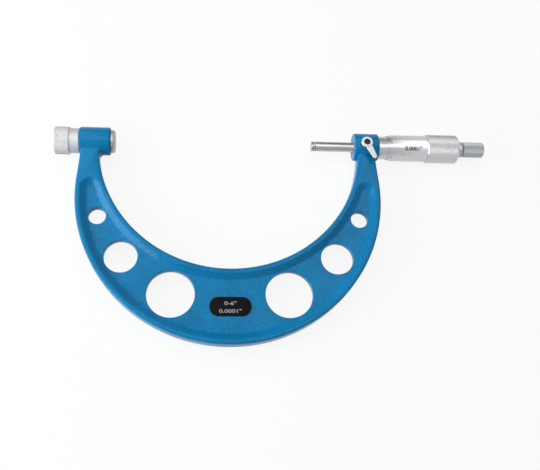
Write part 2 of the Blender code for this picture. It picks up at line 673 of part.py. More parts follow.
def make_ratchet_collar(turn, chrome):
    """The collar pinned to the thimble, with a spigot in its bore and saw teeth towards the knob."""
    bore = SCREW_RADIUS + SEAT_FIT
    collar = [(THIMBLE_END_X - SPIGOT_LENGTH, bore), (THIMBLE_END_X - SPIGOT_LENGTH, TAPER_END_RADIUS)]
    collar += [(COLLAR_X, TAPER_END_RADIUS)] + rim(COLLAR_X, COLLAR_END_X, COLLAR_RADIUS, COLLAR_CHAMFER)
    collar += [(COLLAR_END_X, SAW_RADIUS), (SAW_X, SAW_RADIUS), (SAW_X, bore)]
    bm = turned(collar, ROUND_STEPS)
    raise_saw_teeth(bm, SAW_X, 1, ROUND_STEPS)
    solid("ratchet_collar", bm, turn, chrome)


def make_ratchet_screw(turn, steel):
    """The screw that runs through the knob and the collar into the end of the spindle."""
    screw = [(SPINDLE_END_X - SCREW_DEPTH, 0.0), (SPINDLE_END_X - SCREW_DEPTH, SCREW_RADIUS)]
    screw += [(SCREW_HEAD_X, SCREW_RADIUS), (SCREW_HEAD_X, SCREW_HEAD_RADIUS)]
    head_end = SCREW_HEAD_X + SCREW_HEAD_LENGTH
    screw += [(head_end, SCREW_HEAD_RADIUS), (head_end, 0.0)]
    item = solid("ratchet_screw", turned(screw, INSIDE_STEPS), turn, steel)
    slot = bmesh.new()
    bmesh.ops.create_cube(slot, size=1.0)
    bmesh.ops.scale(slot, verts=slot.verts, vec=(2 * SLOT_DEPTH, 3 * SCREW_HEAD_RADIUS, SLOT_WIDTH))
    combine(item, "DIFFERENCE", solid("slot_cut", slot, turn, location=(head_end, 0.0, 0.0)))


def make_ratchet_knob(turn, chrome, steel):
    """The fluted knob with the toothed wheel inside it."""
    bore = SCREW_RADIUS + RUNNING_FIT
    recess = SCREW_HEAD_RADIUS + RUNNING_FIT
    knob = tube(KNOB_X, KNOB_END_X, KNOB_RADIUS, KNOB_BORE, KNOB_CHAMFER)[:-1]
    knob += [
        (KNOB_END_X, recess),
        (COUNTERBORE_X, recess),
        (COUNTERBORE_X, bore),
        (CAVITY_END_X, bore),
        (CAVITY_END_X, KNOB_BORE),
    ]
    bm = turned(knob, ROUND_STEPS)
    press_flutes(bm, KNOB_RADIUS, KNOB_X, KNOB_END_X, ROUND_STEPS)
    solid("ratchet_knob", bm, turn, chrome)
    wheel = turned(tube(WHEEL_X, WHEEL_END_X, SAW_RADIUS, bore), ROUND_STEPS)
    raise_saw_teeth(wheel, WHEEL_X, -1, ROUND_STEPS)
    solid("ratchet_wheel", wheel, turn, steel)


def make_ratchet_spring(turn, steel):
    """The coil spring between the wheel and the end wall of the knob's cavity."""
    start = WHEEL_END_X + SEAT_GAP + SPRING_WIRE_RADIUS
    end = CAVITY_END_X - SEAT_GAP - SPRING_WIRE_RADIUS
    curve = bpy.data.curves.new("ratchet_spring", "CURVE")
    curve.dimensions = "3D"
    curve.bevel_depth = SPRING_WIRE_RADIUS
    curve.bevel_resolution = 1
    curve.use_fill_caps = True
    spline = curve.splines.new("POLY")
    steps = SPRING_STEPS * SPRING_TURNS
    spline.points.add(steps)
    for point, x, angle in zip(spline.points, spaced(start, end, steps), spaced(0, SPRING_TURNS * math.tau, steps)):
        point.co = (x, SPRING_RADIUS * math.sin(angle), SPRING_RADIUS * math.cos(angle), 1.0)
    curve.materials.append(steel)
    put("ratchet_spring", curve, turn)


def make_lock_pad(root, brass):
    """The brass pad that the lock presses on the spindle."""
    pad = turned(bar(PAD_Z, PAD_Z + PAD_LENGTH, STUD_RADIUS), INSIDE_STEPS)
    solid("lock_pad", pad, root, brass, location=(LOCK_X, -LOCK_DROP, 0.0), upright=True)


def lever_outline():
    """Outline of the lever's arm: straight sides that touch a circle inside the hub and the tip's."""
    spread = math.acos((LEVER_ROOT_RADIUS - LEVER_TIP_RADIUS) / LEVER_REACH)
    tip = LEVER_REACH * Vector((math.cos(LEVER_ANGLE), math.sin(LEVER_ANGLE)))
    loop = arc(tip, LEVER_TIP_RADIUS, LEVER_ANGLE - spread, LEVER_ANGLE + spread, 6)
    root_start, root_end = LEVER_ANGLE + spread, LEVER_ANGLE - spread + math.tau
    return loop + arc(Vector((0, 0)), LEVER_ROOT_RADIUS, root_start, root_end, 10)


def make_lock_lever(turn, chrome):
    """The lever: a stepped hub on the stud, with a tapered arm."""
    hub = [
        (LEVER_Z, STUD_SPIGOT_RADIUS + SEAT_FIT),
        *rim(LEVER_Z, LEVER_TOP_Z, LEVER_HUB_RADIUS, LEVER_HUB_CHAMFER),
        (LEVER_TOP_Z, LOCK_HEAD_RADIUS + SEAT_FIT),
        (LEVER_STEP_Z, LOCK_HEAD_RADIUS + SEAT_FIT),
        (LEVER_STEP_Z, STUD_SPIGOT_RADIUS + SEAT_FIT),
    ]
    low = LEVER_Z + LEVER_ARM_LIFT
    high = low + LEVER_ARM_THICKNESS
    edge = rounding(LEVER_ARM_ROUNDING, 1)
    outline = lever_outline()
    levels = [(inset(outline, way_in), low + down) for way_in, down in reversed(edge)]
    levels += [(inset(outline, way_in), high - down) for way_in, down in edge]
    lever = solid("lock_lever", loft(levels), turn, chrome)
    eye = turned(bar(LEVER_Z, LEVER_TOP_Z, LOCK_HEAD_RADIUS + SEAT_GAP), INSIDE_STEPS)
    combine(lever, "DIFFERENCE", solid("eye_cut", eye, turn, upright=True))
    combine(lever, "UNION", solid("lever_hub", turned(hub, INSIDE_STEPS), turn, upright=True))


def make_lock_stud(turn, steel, black):
    """The stud that turns in the boss, and the screw that holds the lever on it."""
    hole = LOCK_SHANK_RADIUS + SEAT_FIT
    shank_z = LOCK_HEAD_Z - LOCK_SHANK_LENGTH
    stud = [
        (STUD_Z, 0.0),
        (STUD_Z, STUD_RADIUS),
        (LOCK_FACE_Z, STUD_RADIUS),
        (LOCK_FACE_Z, STUD_SPIGOT_RADIUS),
        (LEVER_STEP_Z, STUD_SPIGOT_RADIUS),
        (LEVER_STEP_Z, hole),
        (shank_z - SEAT_GAP, hole),
        (shank_z - SEAT_GAP, 0.0),
    ]
    solid("lock_stud", turned(stud, INSIDE_STEPS), turn, steel, upright=True)
    head_top = LOCK_HEAD_Z + LOCK_HEAD_HEIGHT
    screw = [(shank_z, 0.0), (shank_z, LOCK_SHANK_RADIUS), (LOCK_HEAD_Z, LOCK_SHANK_RADIUS)]
    screw += [(LOCK_HEAD_Z, LOCK_HEAD_RADIUS), (head_top, LOCK_HEAD_RADIUS), (head_top, 0.0)]
    item = solid("lock_screw", turned(screw, INSIDE_STEPS), turn, black, upright=True)
    socket = turned(bar(head_top - HEX_DEPTH, head_top + SEAT_GAP, HEX_RADIUS), 6)
    combine(item, "DIFFERENCE", solid("socket_cut", socket, turn, upright=True))


def build():
    """Builds the whole micrometer."""
    clear_scene()
    paint = surface("blue_enamel", (0.010, 0.190, 0.380), 0.30, 0.0)
    chrome = surface("satin_chrome", (0.70, 0.71, 0.73), 0.35, 1.0)
    steel = surface("ground_steel", (0.56, 0.55, 0.54), 0.22, 1.0)
    carbide = surface("carbide", (0.30, 0.30, 0.31), 0.20, 1.0)
    black_enamel = surface("black_enamel", (0.006, 0.006, 0.008), 0.35, 0.0)
    black_steel = surface("black_steel", (0.030, 0.030, 0.033), 0.40, 1.0)
    brass = surface("brass", (0.65, 0.45, 0.18), 0.35, 1.0)

    middle_x = (CAP_END_X + KNOB_END_X) / 2
    middle_y = (GRIP_RADIUS + BOW_BOTTOM_Y) / 2
    root = put("measuring_axis", None, None, (-middle_x, -middle_y, GRIP_RADIUS))

    lock_cut = make_frame(root, paint)
    make_label_plate(root, black_enamel)
    make_anvil(root, chrome, steel, carbide)
    make_anvil_cap(root, chrome, steel)
    make_sleeves(root, chrome, steel, lock_cut)
    make_lock_pad(root, brass)

    spindle_slide = put("spindle_slide", None, root)
    thimble_turn = put("thimble_turn", None, spindle_slide)
    ratchet_turn = put("ratchet_turn", None, thimble_turn)
    make_spindle(spindle_slide, steel, carbide)
    make_thimble(thimble_turn, chrome)
    make_ratchet_collar(thimble_turn, chrome)
    make_ratchet_screw(thimble_turn, steel)
    make_ratchet_knob(ratchet_turn, chrome, steel)
    make_ratchet_spring(ratchet_turn, steel)

    lock_turn = put("lock_turn", None, root, (LOCK_X, -LOCK_DROP, 0.0))
    make_lock_lever(lock_turn, chrome)
    make_lock_stud(lock_turn, steel, black_steel)


build()
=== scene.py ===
"""Outside micrometer with a cast bow: the shapes and finishes that are seen, one operator for each piece.

Lengths are metres. X runs along the measuring axis towards the ratchet, Y up the bow towards that axis,
and Z out of the front face. Every turned piece takes its place from the solid that it stands for.
"""
import math

import bmesh
import bpy
from bpy.props import FloatProperty, FloatVectorProperty, IntProperty, PointerProperty, StringProperty
from mathutils import Matrix, Vector


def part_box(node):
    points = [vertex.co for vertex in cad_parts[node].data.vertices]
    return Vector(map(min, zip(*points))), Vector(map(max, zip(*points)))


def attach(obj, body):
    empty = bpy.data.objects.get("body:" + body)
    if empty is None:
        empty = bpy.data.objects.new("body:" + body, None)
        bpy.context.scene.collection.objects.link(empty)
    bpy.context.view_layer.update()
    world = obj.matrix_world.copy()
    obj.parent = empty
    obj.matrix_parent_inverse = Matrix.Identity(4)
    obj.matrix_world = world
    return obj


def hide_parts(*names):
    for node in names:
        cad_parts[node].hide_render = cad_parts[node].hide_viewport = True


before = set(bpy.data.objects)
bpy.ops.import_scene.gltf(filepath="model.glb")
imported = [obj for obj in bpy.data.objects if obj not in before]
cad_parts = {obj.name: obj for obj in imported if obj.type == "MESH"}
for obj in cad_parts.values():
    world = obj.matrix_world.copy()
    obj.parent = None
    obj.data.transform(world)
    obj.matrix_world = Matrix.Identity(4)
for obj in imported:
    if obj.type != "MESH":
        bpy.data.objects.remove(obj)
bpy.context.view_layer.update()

bl_info = {
    "name": "Outside Micrometer",
    "version": (1, 0, 0),
    "blender": (4, 5, 0),
    "location": "3D View > Sidebar > Micrometer",
    "description": "Models an outside micrometer with a cast bow, a knurled thimble and a ratchet stop",
    "category": "Mesh",
}

# The measuring axis, the middle of the bow, and how far below the axis the lock stands
SPINDLE_LOW, SPINDLE_HIGH = (Vector(corner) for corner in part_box("spindle"))
LABEL_LOW, LABEL_HIGH = (Vector(corner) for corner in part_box("label_plate"))
AXIS_Y = (SPINDLE_LOW.y + SPINDLE_HIGH.y) / 2
AXIS_Z = (SPINDLE_LOW.z + SPINDLE_HIGH.z) / 2
MIDDLE_X = (LABEL_LOW.x + LABEL_HIGH.x) / 2
LOCK_Y = -0.0011

# Sizes that several pieces share
SLEEVE_BORE = 0.00565
WALL_GAP = 0.0003
TIP_CHAMFER = 0.0003
FINE_EDGE = 0.00008

# Steps around a small turned piece, cuts across a wrapped mesh, and a capital's share of the type size
FINE_STEPS = 96
WRAP_CUTS = 8
CAPITAL_HEIGHT = 0.69

# How near points are merged, and how far a cutter stands past what it cuts
MERGE = 1e-7
PAST = 0.001

WHITE = (1.0, 1.0, 1.0, 1.0)


def span(node):
    """Where a node starts and ends along X, and half its height."""
    low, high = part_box(node)
    return low[0], high[0], (high[2] - low[2]) / 2


def length(name, default, description):
    """A property that holds a length in metres."""
    return FloatProperty(
        name=name, default=default, description=description, unit="LENGTH", precision=5, min=0.0
    )


def count(name, default, least, description):
    """A property that holds a number of things."""
    return IntProperty(name=name, default=default, min=least, description=description)


def lettering(name, default, description):
    """A property that holds what is written on a piece."""
    return StringProperty(name=name, default=default, description=description)


def brightness(name, default, description):
    """A property that holds a brightness, where 1 is white paper."""
    return FloatProperty(name=name, default=default, description=description, min=0.0)


def colour(name, default, description):
    """A property that holds a linear colour."""
    return FloatVectorProperty(
        name=name, default=default, description=description, subtype="COLOR", size=3, min=0.0, max=1.0
    )


class BowSizes(bpy.types.PropertyGroup):
    """Sizes of the cast bow"""

    side_width: length("Side width", 0.0132, "Width of the bow beside the bosses")
    bottom_width: length("Bottom width", 0.0470, "Width of the bow at its bottom")
    thickness: length("Thickness", 0.0110, "Thickness of the rim, front to back")
    edge_radius: length("Edge radius", 0.0013, "Rounding of the rim's outer edges")
    web_thickness: length("Web thickness", 0.0050, "Thickness of the web in the pockets")
    rim_width: length("Rim width", 0.0030, "Width of the rim around the pockets")
    slope_width: length("Slope width", 0.0037, "Width of the sloping wall of a pocket")
    pocket_radius: length("Pocket radius", 0.0020, "Rounding at the lip and the foot of a pocket")
    neck_width: length("Neck width", 0.0111, "Width of the necks under the bosses")
    neck_fillet: length("Neck fillet", 0.0030, "Fillet between a neck and its boss")
    boss_radius: length("Boss radius", 0.0090, "Radius of the bosses")
    boss_edge: length("Boss edge", 0.0009, "Rounding of the bosses' ends")


class KnurlSizes(bpy.types.PropertyGroup):
    """Sizes of the knurls and flutes"""

    grip_columns: count("Grip columns", 120, 12, "Half diamonds around the grip")
    grip_rows: count("Grip rows", 43, 3, "Half diamonds along the grip")
    cap_columns: count("Cap columns", 136, 12, "Half diamonds around the cap nut")
    cap_rows: count("Cap rows", 19, 3, "Half diamonds along the cap nut")
    depth: length("Knurl depth", 0.00016, "Depth of the pressed diamonds")
    flutes: count("Flutes", 40, 8, "Flutes around the ratchet knob")
    flute_depth: length("Flute depth", 0.00022, "Depth of the flutes")
    edge: length("Edge break", 0.00014, "Rounding of turned edges")


class ScaleSizes(bpy.types.PropertyGroup):
    """Sizes of the graduations and letters"""

    line_width: length("Line width", 0.00014, "Width of a graduation line")
    relief: length("Relief", 0.00002, "Height of lines and letters above their surface")
    divisions: count("Divisions", 25, 5, "Divisions around the thimble")
    pitch: length("Pitch", 0.000635, "Travel of the spindle in one turn")
    label_top: lettering("Label, first line", '0-6"', "Range of the micrometer")
    label_bottom: lettering("Label, second line", '0.0001"', "Smallest reading")
    barrel_words: lettering("Barrel", '0.0001"', "Smallest reading, on the barrel")


class Finishes(bpy.types.PropertyGroup):
    """Colours of the finishes"""

    enamel: colour("Blue enamel", (0.0, 0.185, 0.41), "Stoved enamel of the bow")
    chrome: colour("Satin chrome", (0.56, 0.57, 0.585), "Thimble and sleeve")
    knurl: colour("Knurled chrome", (0.50, 0.505, 0.515), "Cap nut")
    # The lever's chrome is darker and bluer than the thimble's: painted shade of the arm
    lever: colour("Worn chrome", (0.44, 0.45, 0.48), "Lever of the spindle lock")
    knob: colour("Dull chrome", (0.35, 0.36, 0.375), "Flange, ratchet base and knob")
    steel: colour("Ground steel", (0.47, 0.46, 0.45), "Spindle and inner pieces")
    carbide: colour("Carbide", (0.36, 0.35, 0.35), "Measuring faces")
    black: colour("Black enamel", (0.008, 0.008, 0.010), "Label plate")
    screw: colour("Blackened steel", (0.03, 0.03, 0.034), "Screw of the spindle lock")
    ink: colour("Ink", (0.018, 0.018, 0.020), "Graduations and numbers")
    letters: colour("Letters", (0.30, 0.31, 0.32), "Lettering of the label")
    brass: colour("Brass", (0.62, 0.43, 0.17), "Pad of the spindle lock")


class StageSettings(bpy.types.PropertyGroup):
    """Light and floor of the stage"""

    overhead: brightness("Overhead", 1.45, "Soft box overhead")
    key: brightness("Key", 5.0, "Soft lamp low on the left")
    sky: brightness("Surround", 0.20, "Light that comes from all around")
    upper: brightness("Upper screen", 0.30, "Grey screen behind the tool, seen in gloss")
    lower: brightness("Lower screen", 0.65, "Grey screen before the tool, seen in gloss")
    floor: colour("Floor", (0.90, 0.90, 0.90), "Floor in its shade")


SETTINGS = {
    "micrometer_bow": BowSizes,
    "micrometer_knurls": KnurlSizes,
    "micrometer_scales": ScaleSizes,
    "micrometer_finishes": Finishes,
    "micrometer_stage": StageSettings,
}


# Materials

def new_finish(name, roughness, metallic=0.0, shine=0.5):
    """A Principled material, with the values that are the same all over it."""
    material = bpy.data.materials.new(name)
    material.use_nodes = True
    shader = material.node_tree.nodes["Principled BSDF"]
    shader.inputs["Roughness"].default_value = roughness
    shader.inputs["Metallic"].default_value = metallic
    shader.inputs["Specular IOR Level"].default_value = shine
    return material, material.node_tree, shader


def add(tree, kind, inputs=None, **settings):
    """Adds a node; an input is a value or a socket to link from."""
    node = tree.nodes.new("ShaderNode" + kind)
    for key, value in settings.items():
        setattr(node, key, value)
    for key, value in (inputs or {}).items():
        if isinstance(value, bpy.types.NodeSocket):
            tree.links.new(value, node.inputs[key])
        else:
            node.inputs[key].default_value = value
    return node


def place_of(tree):
    """Coordinates of a point of the piece, from the measuring axis."""
    inputs = {"Vector": add(tree, "TexCoord").outputs["Object"], "Location": (0.0, -AXIS_Y, -AXIS_Z)}
    return add(tree, "Mapping", inputs).outputs["Vector"]


def mottle(tree, place, size, detail=2.0):
    """Soft noise with blotches of a size in metres."""
    return add(tree, "TexNoise", {"Vector": place, "Scale": 1 / size, "Detail": detail}).outputs["Fac"]


def rings(tree, place, size):
    """Noise in rings about the measuring axis, as the tool of a lathe or a grinding wheel leaves them."""
    parts = add(tree, "SeparateXYZ", {"Vector": place}).outputs
    across = add(tree, "CombineXYZ", {"Y": parts["Y"], "Z": parts["Z"]}).outputs["Vector"]
    radius = add(tree, "VectorMath", {0: across}, operation="LENGTH").outputs["Value"]
    along = add(tree, "Math", {0: parts["X"], 1: radius}, operation="ADD").outputs["Value"]
    noise = add(tree, "TexNoise", {"W": along, "Scale": 1 / size, "Detail": 2.0}, noise_dimensions="1D")
    return noise.outputs["Fac"]


def ranged(tree, value, low, high, start=0.3, end=0.7):
    """Maps a noise value to a range."""
    inputs = {"Value": value, "From Min": start, "From Max": end, "To Min": low, "To Max": high}
    return add(tree, "MapRange", inputs).outputs["Result"]


def tinted(tree, value, tone, change):
    """A colour that goes darker and lighter by a share, with a noise value."""
    low = (*(channel * (1 - change) for channel in tone), 1.0)
    high = (*(min(1.0, channel * (1 + change)) for channel in tone), 1.0)
    factor = ranged(tree, value, 0.0, 1.0)
    return add(tree, "Mix", {"Factor": factor, 6: low, 7: high}, data_type="RGBA").outputs[2]


def bumped(tree, shader, height, distance, normal=None):
    """Lets a height raise the surface by a distance in metres."""
    inputs = {"Height": height, "Distance": distance, "Strength": 1.0}
    if normal:
        inputs["Normal"] = normal
    output = add(tree, "Bump", inputs).outputs["Normal"]
    tree.links.new(output, shader.inputs["Normal"])
    return output


def enamel_finish(name, tone, roughness, shine):
    """Stoved enamel on a casting: a fine speckle, a little orange peel and a soft gloss."""
    material, tree, shader = new_finish(name, roughness, shine=shine)
    place = place_of(tree)
    blotches, speckle = mottle(tree, place, 0.018), mottle(tree, place, 0.0011, 3.0)
    mixed = add(tree, "Mix", {"Factor": 0.7, "A": blotches, "B": speckle}).outputs["Result"]
    tree.links.new(tinted(tree, mixed, tone, 0.28), shader.inputs["Base Color"])
    haze = ranged(tree, mottle(tree, place, 0.004), roughness - 0.05, roughness + 0.05)
    tree.links.new(haze, shader.inputs["Roughness"])
    peel = bumped(tree, shader, mottle(tree, place, 0.0022), 0.00003)
    bumped(tree, shader, mottle(tree, place, 0.0006, 4.0), 0.000012, normal=peel)
    return material


def turned_finish(name, tone, roughness, line, depth):
    """Bright metal with fine rings from turning or grinding, and faint handling marks."""
    material, tree, shader = new_finish(name, roughness, 1.0)
    place = place_of(tree)
    fine = rings(tree, place, line)
    hazy = mottle(tree, place, 0.006, 4.0)
    tree.links.new(tinted(tree, hazy, tone, 0.015), shader.inputs["Base Color"])
    mixed = add(tree, "Math", {0: fine, 1: hazy}, operation="ADD").outputs["Value"]
    dulled = ranged(tree, mixed, roughness - 0.025, roughness + 0.025, 0.7, 1.3)
    tree.links.new(dulled, shader.inputs["Roughness"])
    bumped(tree, shader, fine, depth)
    return material


def plain_metal_finish(name, tone, roughness):
    """Metal without turning marks: lapped, blackened or as it came from the bar."""
    material, tree, shader = new_finish(name, roughness, 1.0)
    place = place_of(tree)
    grain = mottle(tree, place, 0.0004, 3.0)
    tree.links.new(tinted(tree, mottle(tree, place, 0.003), tone, 0.08), shader.inputs["Base Color"])
    tree.links.new(ranged(tree, grain, roughness - 0.05, roughness + 0.07), shader.inputs["Roughness"])
    bumped(tree, shader, grain, 0.000004)
    return material


def ink_finish(name, tone, roughness):
    """Paint in engraved lines and letters, with a slightly worn surface."""
    material, tree, shader = new_finish(name, roughness)
    place = place_of(tree)
    worn = mottle(tree, place, 0.0005, 3.0)
    tree.links.new(tinted(tree, worn, tone, 0.15), shader.inputs["Base Color"])
    tree.links.new(ranged(tree, worn, roughness - 0.1, roughness + 0.1), shader.inputs["Roughness"])
    return material


# How far apart the rings of a tool lie, and how deep they are
LATHE = (0.00012, 0.0000015)
GRINDER = (0.00008, 0.0000006)

# For each finish, how it is made, its material's name, its colour and its other values
FINISHES = {
    "blue_enamel": (enamel_finish, "blue_enamel_gloss", "enamel", 0.21, 0.14),
    "satin_chrome": (turned_finish, "satin_chrome_turned", "chrome", 0.28, *LATHE),
    "knurled_chrome": (turned_finish, "knurled_chrome_matt", "knurl", 0.58, *LATHE),
    # Darker chrome for the lever: painted shade of the arm
    "worn_chrome": (turned_finish, "worn_chrome_satin", "lever", 0.38, *LATHE),
    "dull_chrome": (turned_finish, "dull_chrome_turned", "knob", 0.36, *LATHE),
    "ground_steel": (turned_finish, "ground_steel_rings", "steel", 0.20, *GRINDER),
    "carbide": (plain_metal_finish, "carbide_lapped", "carbide", 0.22),
    "black_enamel": (enamel_finish, "black_enamel_gloss", "black", 0.45, 0.03),
    "black_steel": (plain_metal_finish, "black_steel_blued", "screw", 0.38),
    "brass": (plain_metal_finish, "brass_plain", "brass", 0.35),
    "ink": (ink_finish, "engraving_ink", "ink", 0.55),
    "letters": (ink_finish, "label_letters", "letters", 0.55),
}
made_finishes = {}


def finish(name):
    """The finish of a name, made on its first use."""
    if name not in made_finishes:
        maker, title, tone, *values = FINISHES[name]
        made_finishes[name] = maker(title, getattr(bpy.context.scene.micrometer_finishes, tone), *values)
    return made_finishes[name]


# Shapes

def linked(name, data):
    """A new object in the scene."""
    item = bpy.data.objects.new(name, data)
    bpy.context.scene.collection.objects.link(item)
    return item


def mesh_of(name, bm):
    """A mesh from a bmesh, which is freed."""
    mesh = bpy.data.meshes.new(name)
    bm.to_mesh(mesh)
    bm.free()
    return mesh


def spaced(start, end, steps):
    """Evenly spaced values from start to end."""
    return [start + (end - start) * step / steps for step in range(steps + 1)]


def turned(profile, steps=128):
    """Spins (x, radius) points about the X axis into a ring, or a solid where it starts on the axis."""
    bm = bmesh.new()
    verts = [bm.verts.new((x, 0.0, radius)) for x, radius in profile]
    following = verts[1:] + (verts[:1] if profile[0][1] else [])
    edges = [bm.edges.new(pair) for pair in zip(verts, following)]
    bmesh.ops.spin(
        bm, geom=verts + edges, cent=(0, 0, 0), axis=(1, 0, 0), angle=math.tau, steps=steps, use_merge=True
    )
    bmesh.ops.remove_doubles(bm, verts=bm.verts, dist=MERGE)
    bmesh.ops.recalc_face_normals(bm, faces=bm.faces)
    return bm


def stepped(stations, steps=128):
    """A solid of plain steps on the X axis: each (x, radius) starts a step, and the last x ends them."""
    profile = [(stations[0][0], 0.0)]
    for (start, radius), (end, _) in zip(stations, stations[1:]):
        profile += [(start, radius), (end, radius)]
    return turned(profile + [(stations[-1][0], 0.0)], steps)


def break_edges(bm, width, segments=2, angle=28):
    """Rounds the sharp edges of a mesh a little."""
    sharp = [edge for edge in bm.edges if edge.is_manifold and edge.calc_face_angle() > math.radians(angle)]
    bmesh.ops.bevel(
        bm, geom=sharp, offset=width, offset_type="OFFSET", segments=segments, profile=0.5, affect="EDGES",
        clamp_overlap=True, material=-1,
    )


def column_of(vert, steps):
    """Which step of a turned mesh a vertex lies on."""
    return round(math.atan2(vert.co.y, vert.co.z) / math.tau * steps)


def at_radius(bm, radius, start, end):
    """Vertices of a turned mesh that lie at a radius, between two stations."""
    return {
        vert for vert in bm.verts
        if start - MERGE < vert.co.x < end + MERGE and abs(vert.co.yz.length - radius) < 5 * MERGE
    }


def press_diamonds(bm, radius, start, end, rows, steps, depth):
    """Presses a diamond knurl into a turned band: every second crossing of its grid goes in."""
    band = at_radius(bm, radius, start, end)
    faces = [face for face in bm.faces if band.issuperset(face.verts)]
    for vert in band:
        row = round((vert.co.x - start) / (end - start) * rows)
        if (row + column_of(vert, steps)) % 2:
            vert.co.yz *= 1 - depth / radius
    bmesh.ops.triangulate(bm, faces=faces, quad_method="SHORT_EDGE")


def arc(centre, radius, start, end, steps):
    """Points of an arc in the XY plane, both ends included."""
    return [centre + radius * Vector((math.cos(a), math.sin(a))) for a in spaced(start, end, steps)]


def inset(loop, distance):
    """Moves the sides of a counter-clockwise loop of points inwards by a distance."""
    moved = []
    for before, here, after in zip(loop[-1:] + loop[:-1], loop, loop[1:] + loop[:1]):
        first = (here - before).orthogonal().normalized()
        second = (after - here).orthogonal().normalized()
        way = (first + second).normalized()
        moved.append(here + way * distance / way.dot(first))
    return moved


def stacked(levels):
    """Closed solid through (loop, z) levels, bridged from ring to ring."""
    bm = bmesh.new()
    loops = []
    for points, z in levels:
        verts = [bm.verts.new((point.x, point.y, z)) for point in points]
        loops.append([bm.edges.new(pair) for pair in zip(verts, verts[1:] + verts[:1])])
    for low, high in zip(loops, loops[1:]):
        bmesh.ops.bridge_loops(bm, edges=low + high)
    for loop in (loops[0], loops[-1]):
        bmesh.ops.contextual_create(bm, geom=loop)
    bmesh.ops.recalc_face_normals(bm, faces=bm.faces)
    return bm


def eased(before, corner, after, radius, steps):
    """Points of the arc that rounds a corner of a section."""
    first = (Vector(before) - Vector(corner)).normalized()
    last = (Vector(after) - Vector(corner)).normalized()
    half = first.angle(last) / 2
    middle = Vector(corner) + (first + last).normalized() * radius / math.sin(half)
    start = Vector(corner) + first * radius / math.tan(half) - middle
    sweep = math.pi - 2 * half
    side = 1 if start.x * last.y - start.y * last.x > 0 else -1
    return [middle + Matrix.Rotation(side * angle, 2) @ start for angle in spaced(0, sweep, steps)]


def upright(bm, x=0.0, y=0.0):
    """Stands a mesh that was turned about X on the Z axis at (x, y)."""
    bmesh.ops.rotate(bm, verts=bm.verts, cent=(0, 0, 0), matrix=Matrix.Rotation(-math.pi / 2, 3, "Y"))
    bmesh.ops.translate(bm, verts=bm.verts, vec=(x, y, 0.0))
    return bm


def carved(base, *steps):
    """A solid after a row of (operation, solid) steps, each with the exact solver."""
    depsgraph = bpy.context.evaluated_depsgraph_get()
    helpers = [linked("helper", mesh_of("helper", bm)) for bm in [base] + [step[1] for step in steps]]
    for (operation, _), helper in zip(steps, helpers[1:]):
        modifier = helpers[0].modifiers.new("step", "BOOLEAN")
        modifier.operation = operation
        modifier.solver = "EXACT"
        modifier.object = helper
    bpy.context.view_layer.update()
    result = bmesh.new()
    result.from_object(helpers[0], depsgraph)
    for helper in helpers:
        bpy.data.meshes.remove(helper.data)
    return result


def letters(words, height, relief, width=0.0, weight=0.0):
    """Raised letters on the XY plane, centred and reading along X, to a width if one is given."""
    curve = bpy.data.curves.new("letters", "FONT")
    curve.body = words
    curve.size = height / CAPITAL_HEIGHT
    curve.offset = weight
    curve.align_x = "CENTER"
    curve.align_y = "CENTER"
    curve.resolution_u = 4
    curve.extrude = relief
    item = linked("letters", curve)
    bpy.context.view_layer.update()
    mesh = bpy.data.meshes.new_from_object(item.evaluated_get(bpy.context.evaluated_depsgraph_get()))
    bm = bmesh.new()
    bm.from_mesh(mesh)
    bmesh.ops.remove_doubles(bm, verts=bm.verts, dist=MERGE)
    bpy.data.meshes.remove(mesh)
    bpy.data.curves.remove(curve)
    if width:
        along = [vert.co.x for vert in bm.verts]
        bmesh.ops.scale(bm, verts=bm.verts, vec=(width / (max(along) - min(along)), 1.0, 1.0))
    return bm


def wrap(bm, x, turn, radius_at):
    """Lays a flat mesh on a turned surface, at a station and an angle from the top."""
    # Cut across first, so that the middles of its faces bend too
    across = [vert.co.y for vert in bm.verts]
    for y in spaced(min(across), max(across), WRAP_CUTS)[1:-1]:
        whole = bm.verts[:] + bm.edges[:] + bm.faces[:]
        bmesh.ops.bisect_plane(bm, geom=whole, plane_co=(0, y, 0), plane_no=(0, 1, 0), dist=MERGE)
    for vert in bm.verts:
        station = x + vert.co.x
        radius = radius_at(station)
        angle = turn + vert.co.y / radius
        height = radius + vert.co.z
        vert.co = (station, height * math.sin(angle), height * math.cos(angle))
    return bm


def stroke(along, across, relief):
    """A thin flat bar on the XY plane, for a line of a scale."""
    bm = bmesh.new()
    bmesh.ops.create_cube(bm, size=1.0)
    bmesh.ops.scale(bm, verts=bm.verts, vec=(along, across, 2 * relief))
    return bm


def gathered(meshes):
    """Several meshes as one."""
    whole = bmesh.new()
    for bm in meshes:
        part = mesh_of("part", bm)
        whole.from_mesh(part)
        bpy.data.meshes.remove(part)
    return whole


def show(name, bm, material, body, stands_for=(), sharp=32, raised=True):
    """Makes a piece from a mesh; a raised one was modelled about the measuring axis."""
    if raised:
        bmesh.ops.translate(bm, verts=bm.verts, vec=(0.0, AXIS_Y, AXIS_Z))
    bmesh.ops.recalc_face_normals(bm, faces=bm.faces)
    mesh = mesh_of(name, bm)
    mesh.shade_smooth()
    mesh.set_sharp_from_angle(angle=math.radians(sharp))
    mesh.materials.append(material)
    item = linked(name, mesh)
    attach(item, body)
    if stands_for:
        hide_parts(*stands_for)


# Bow

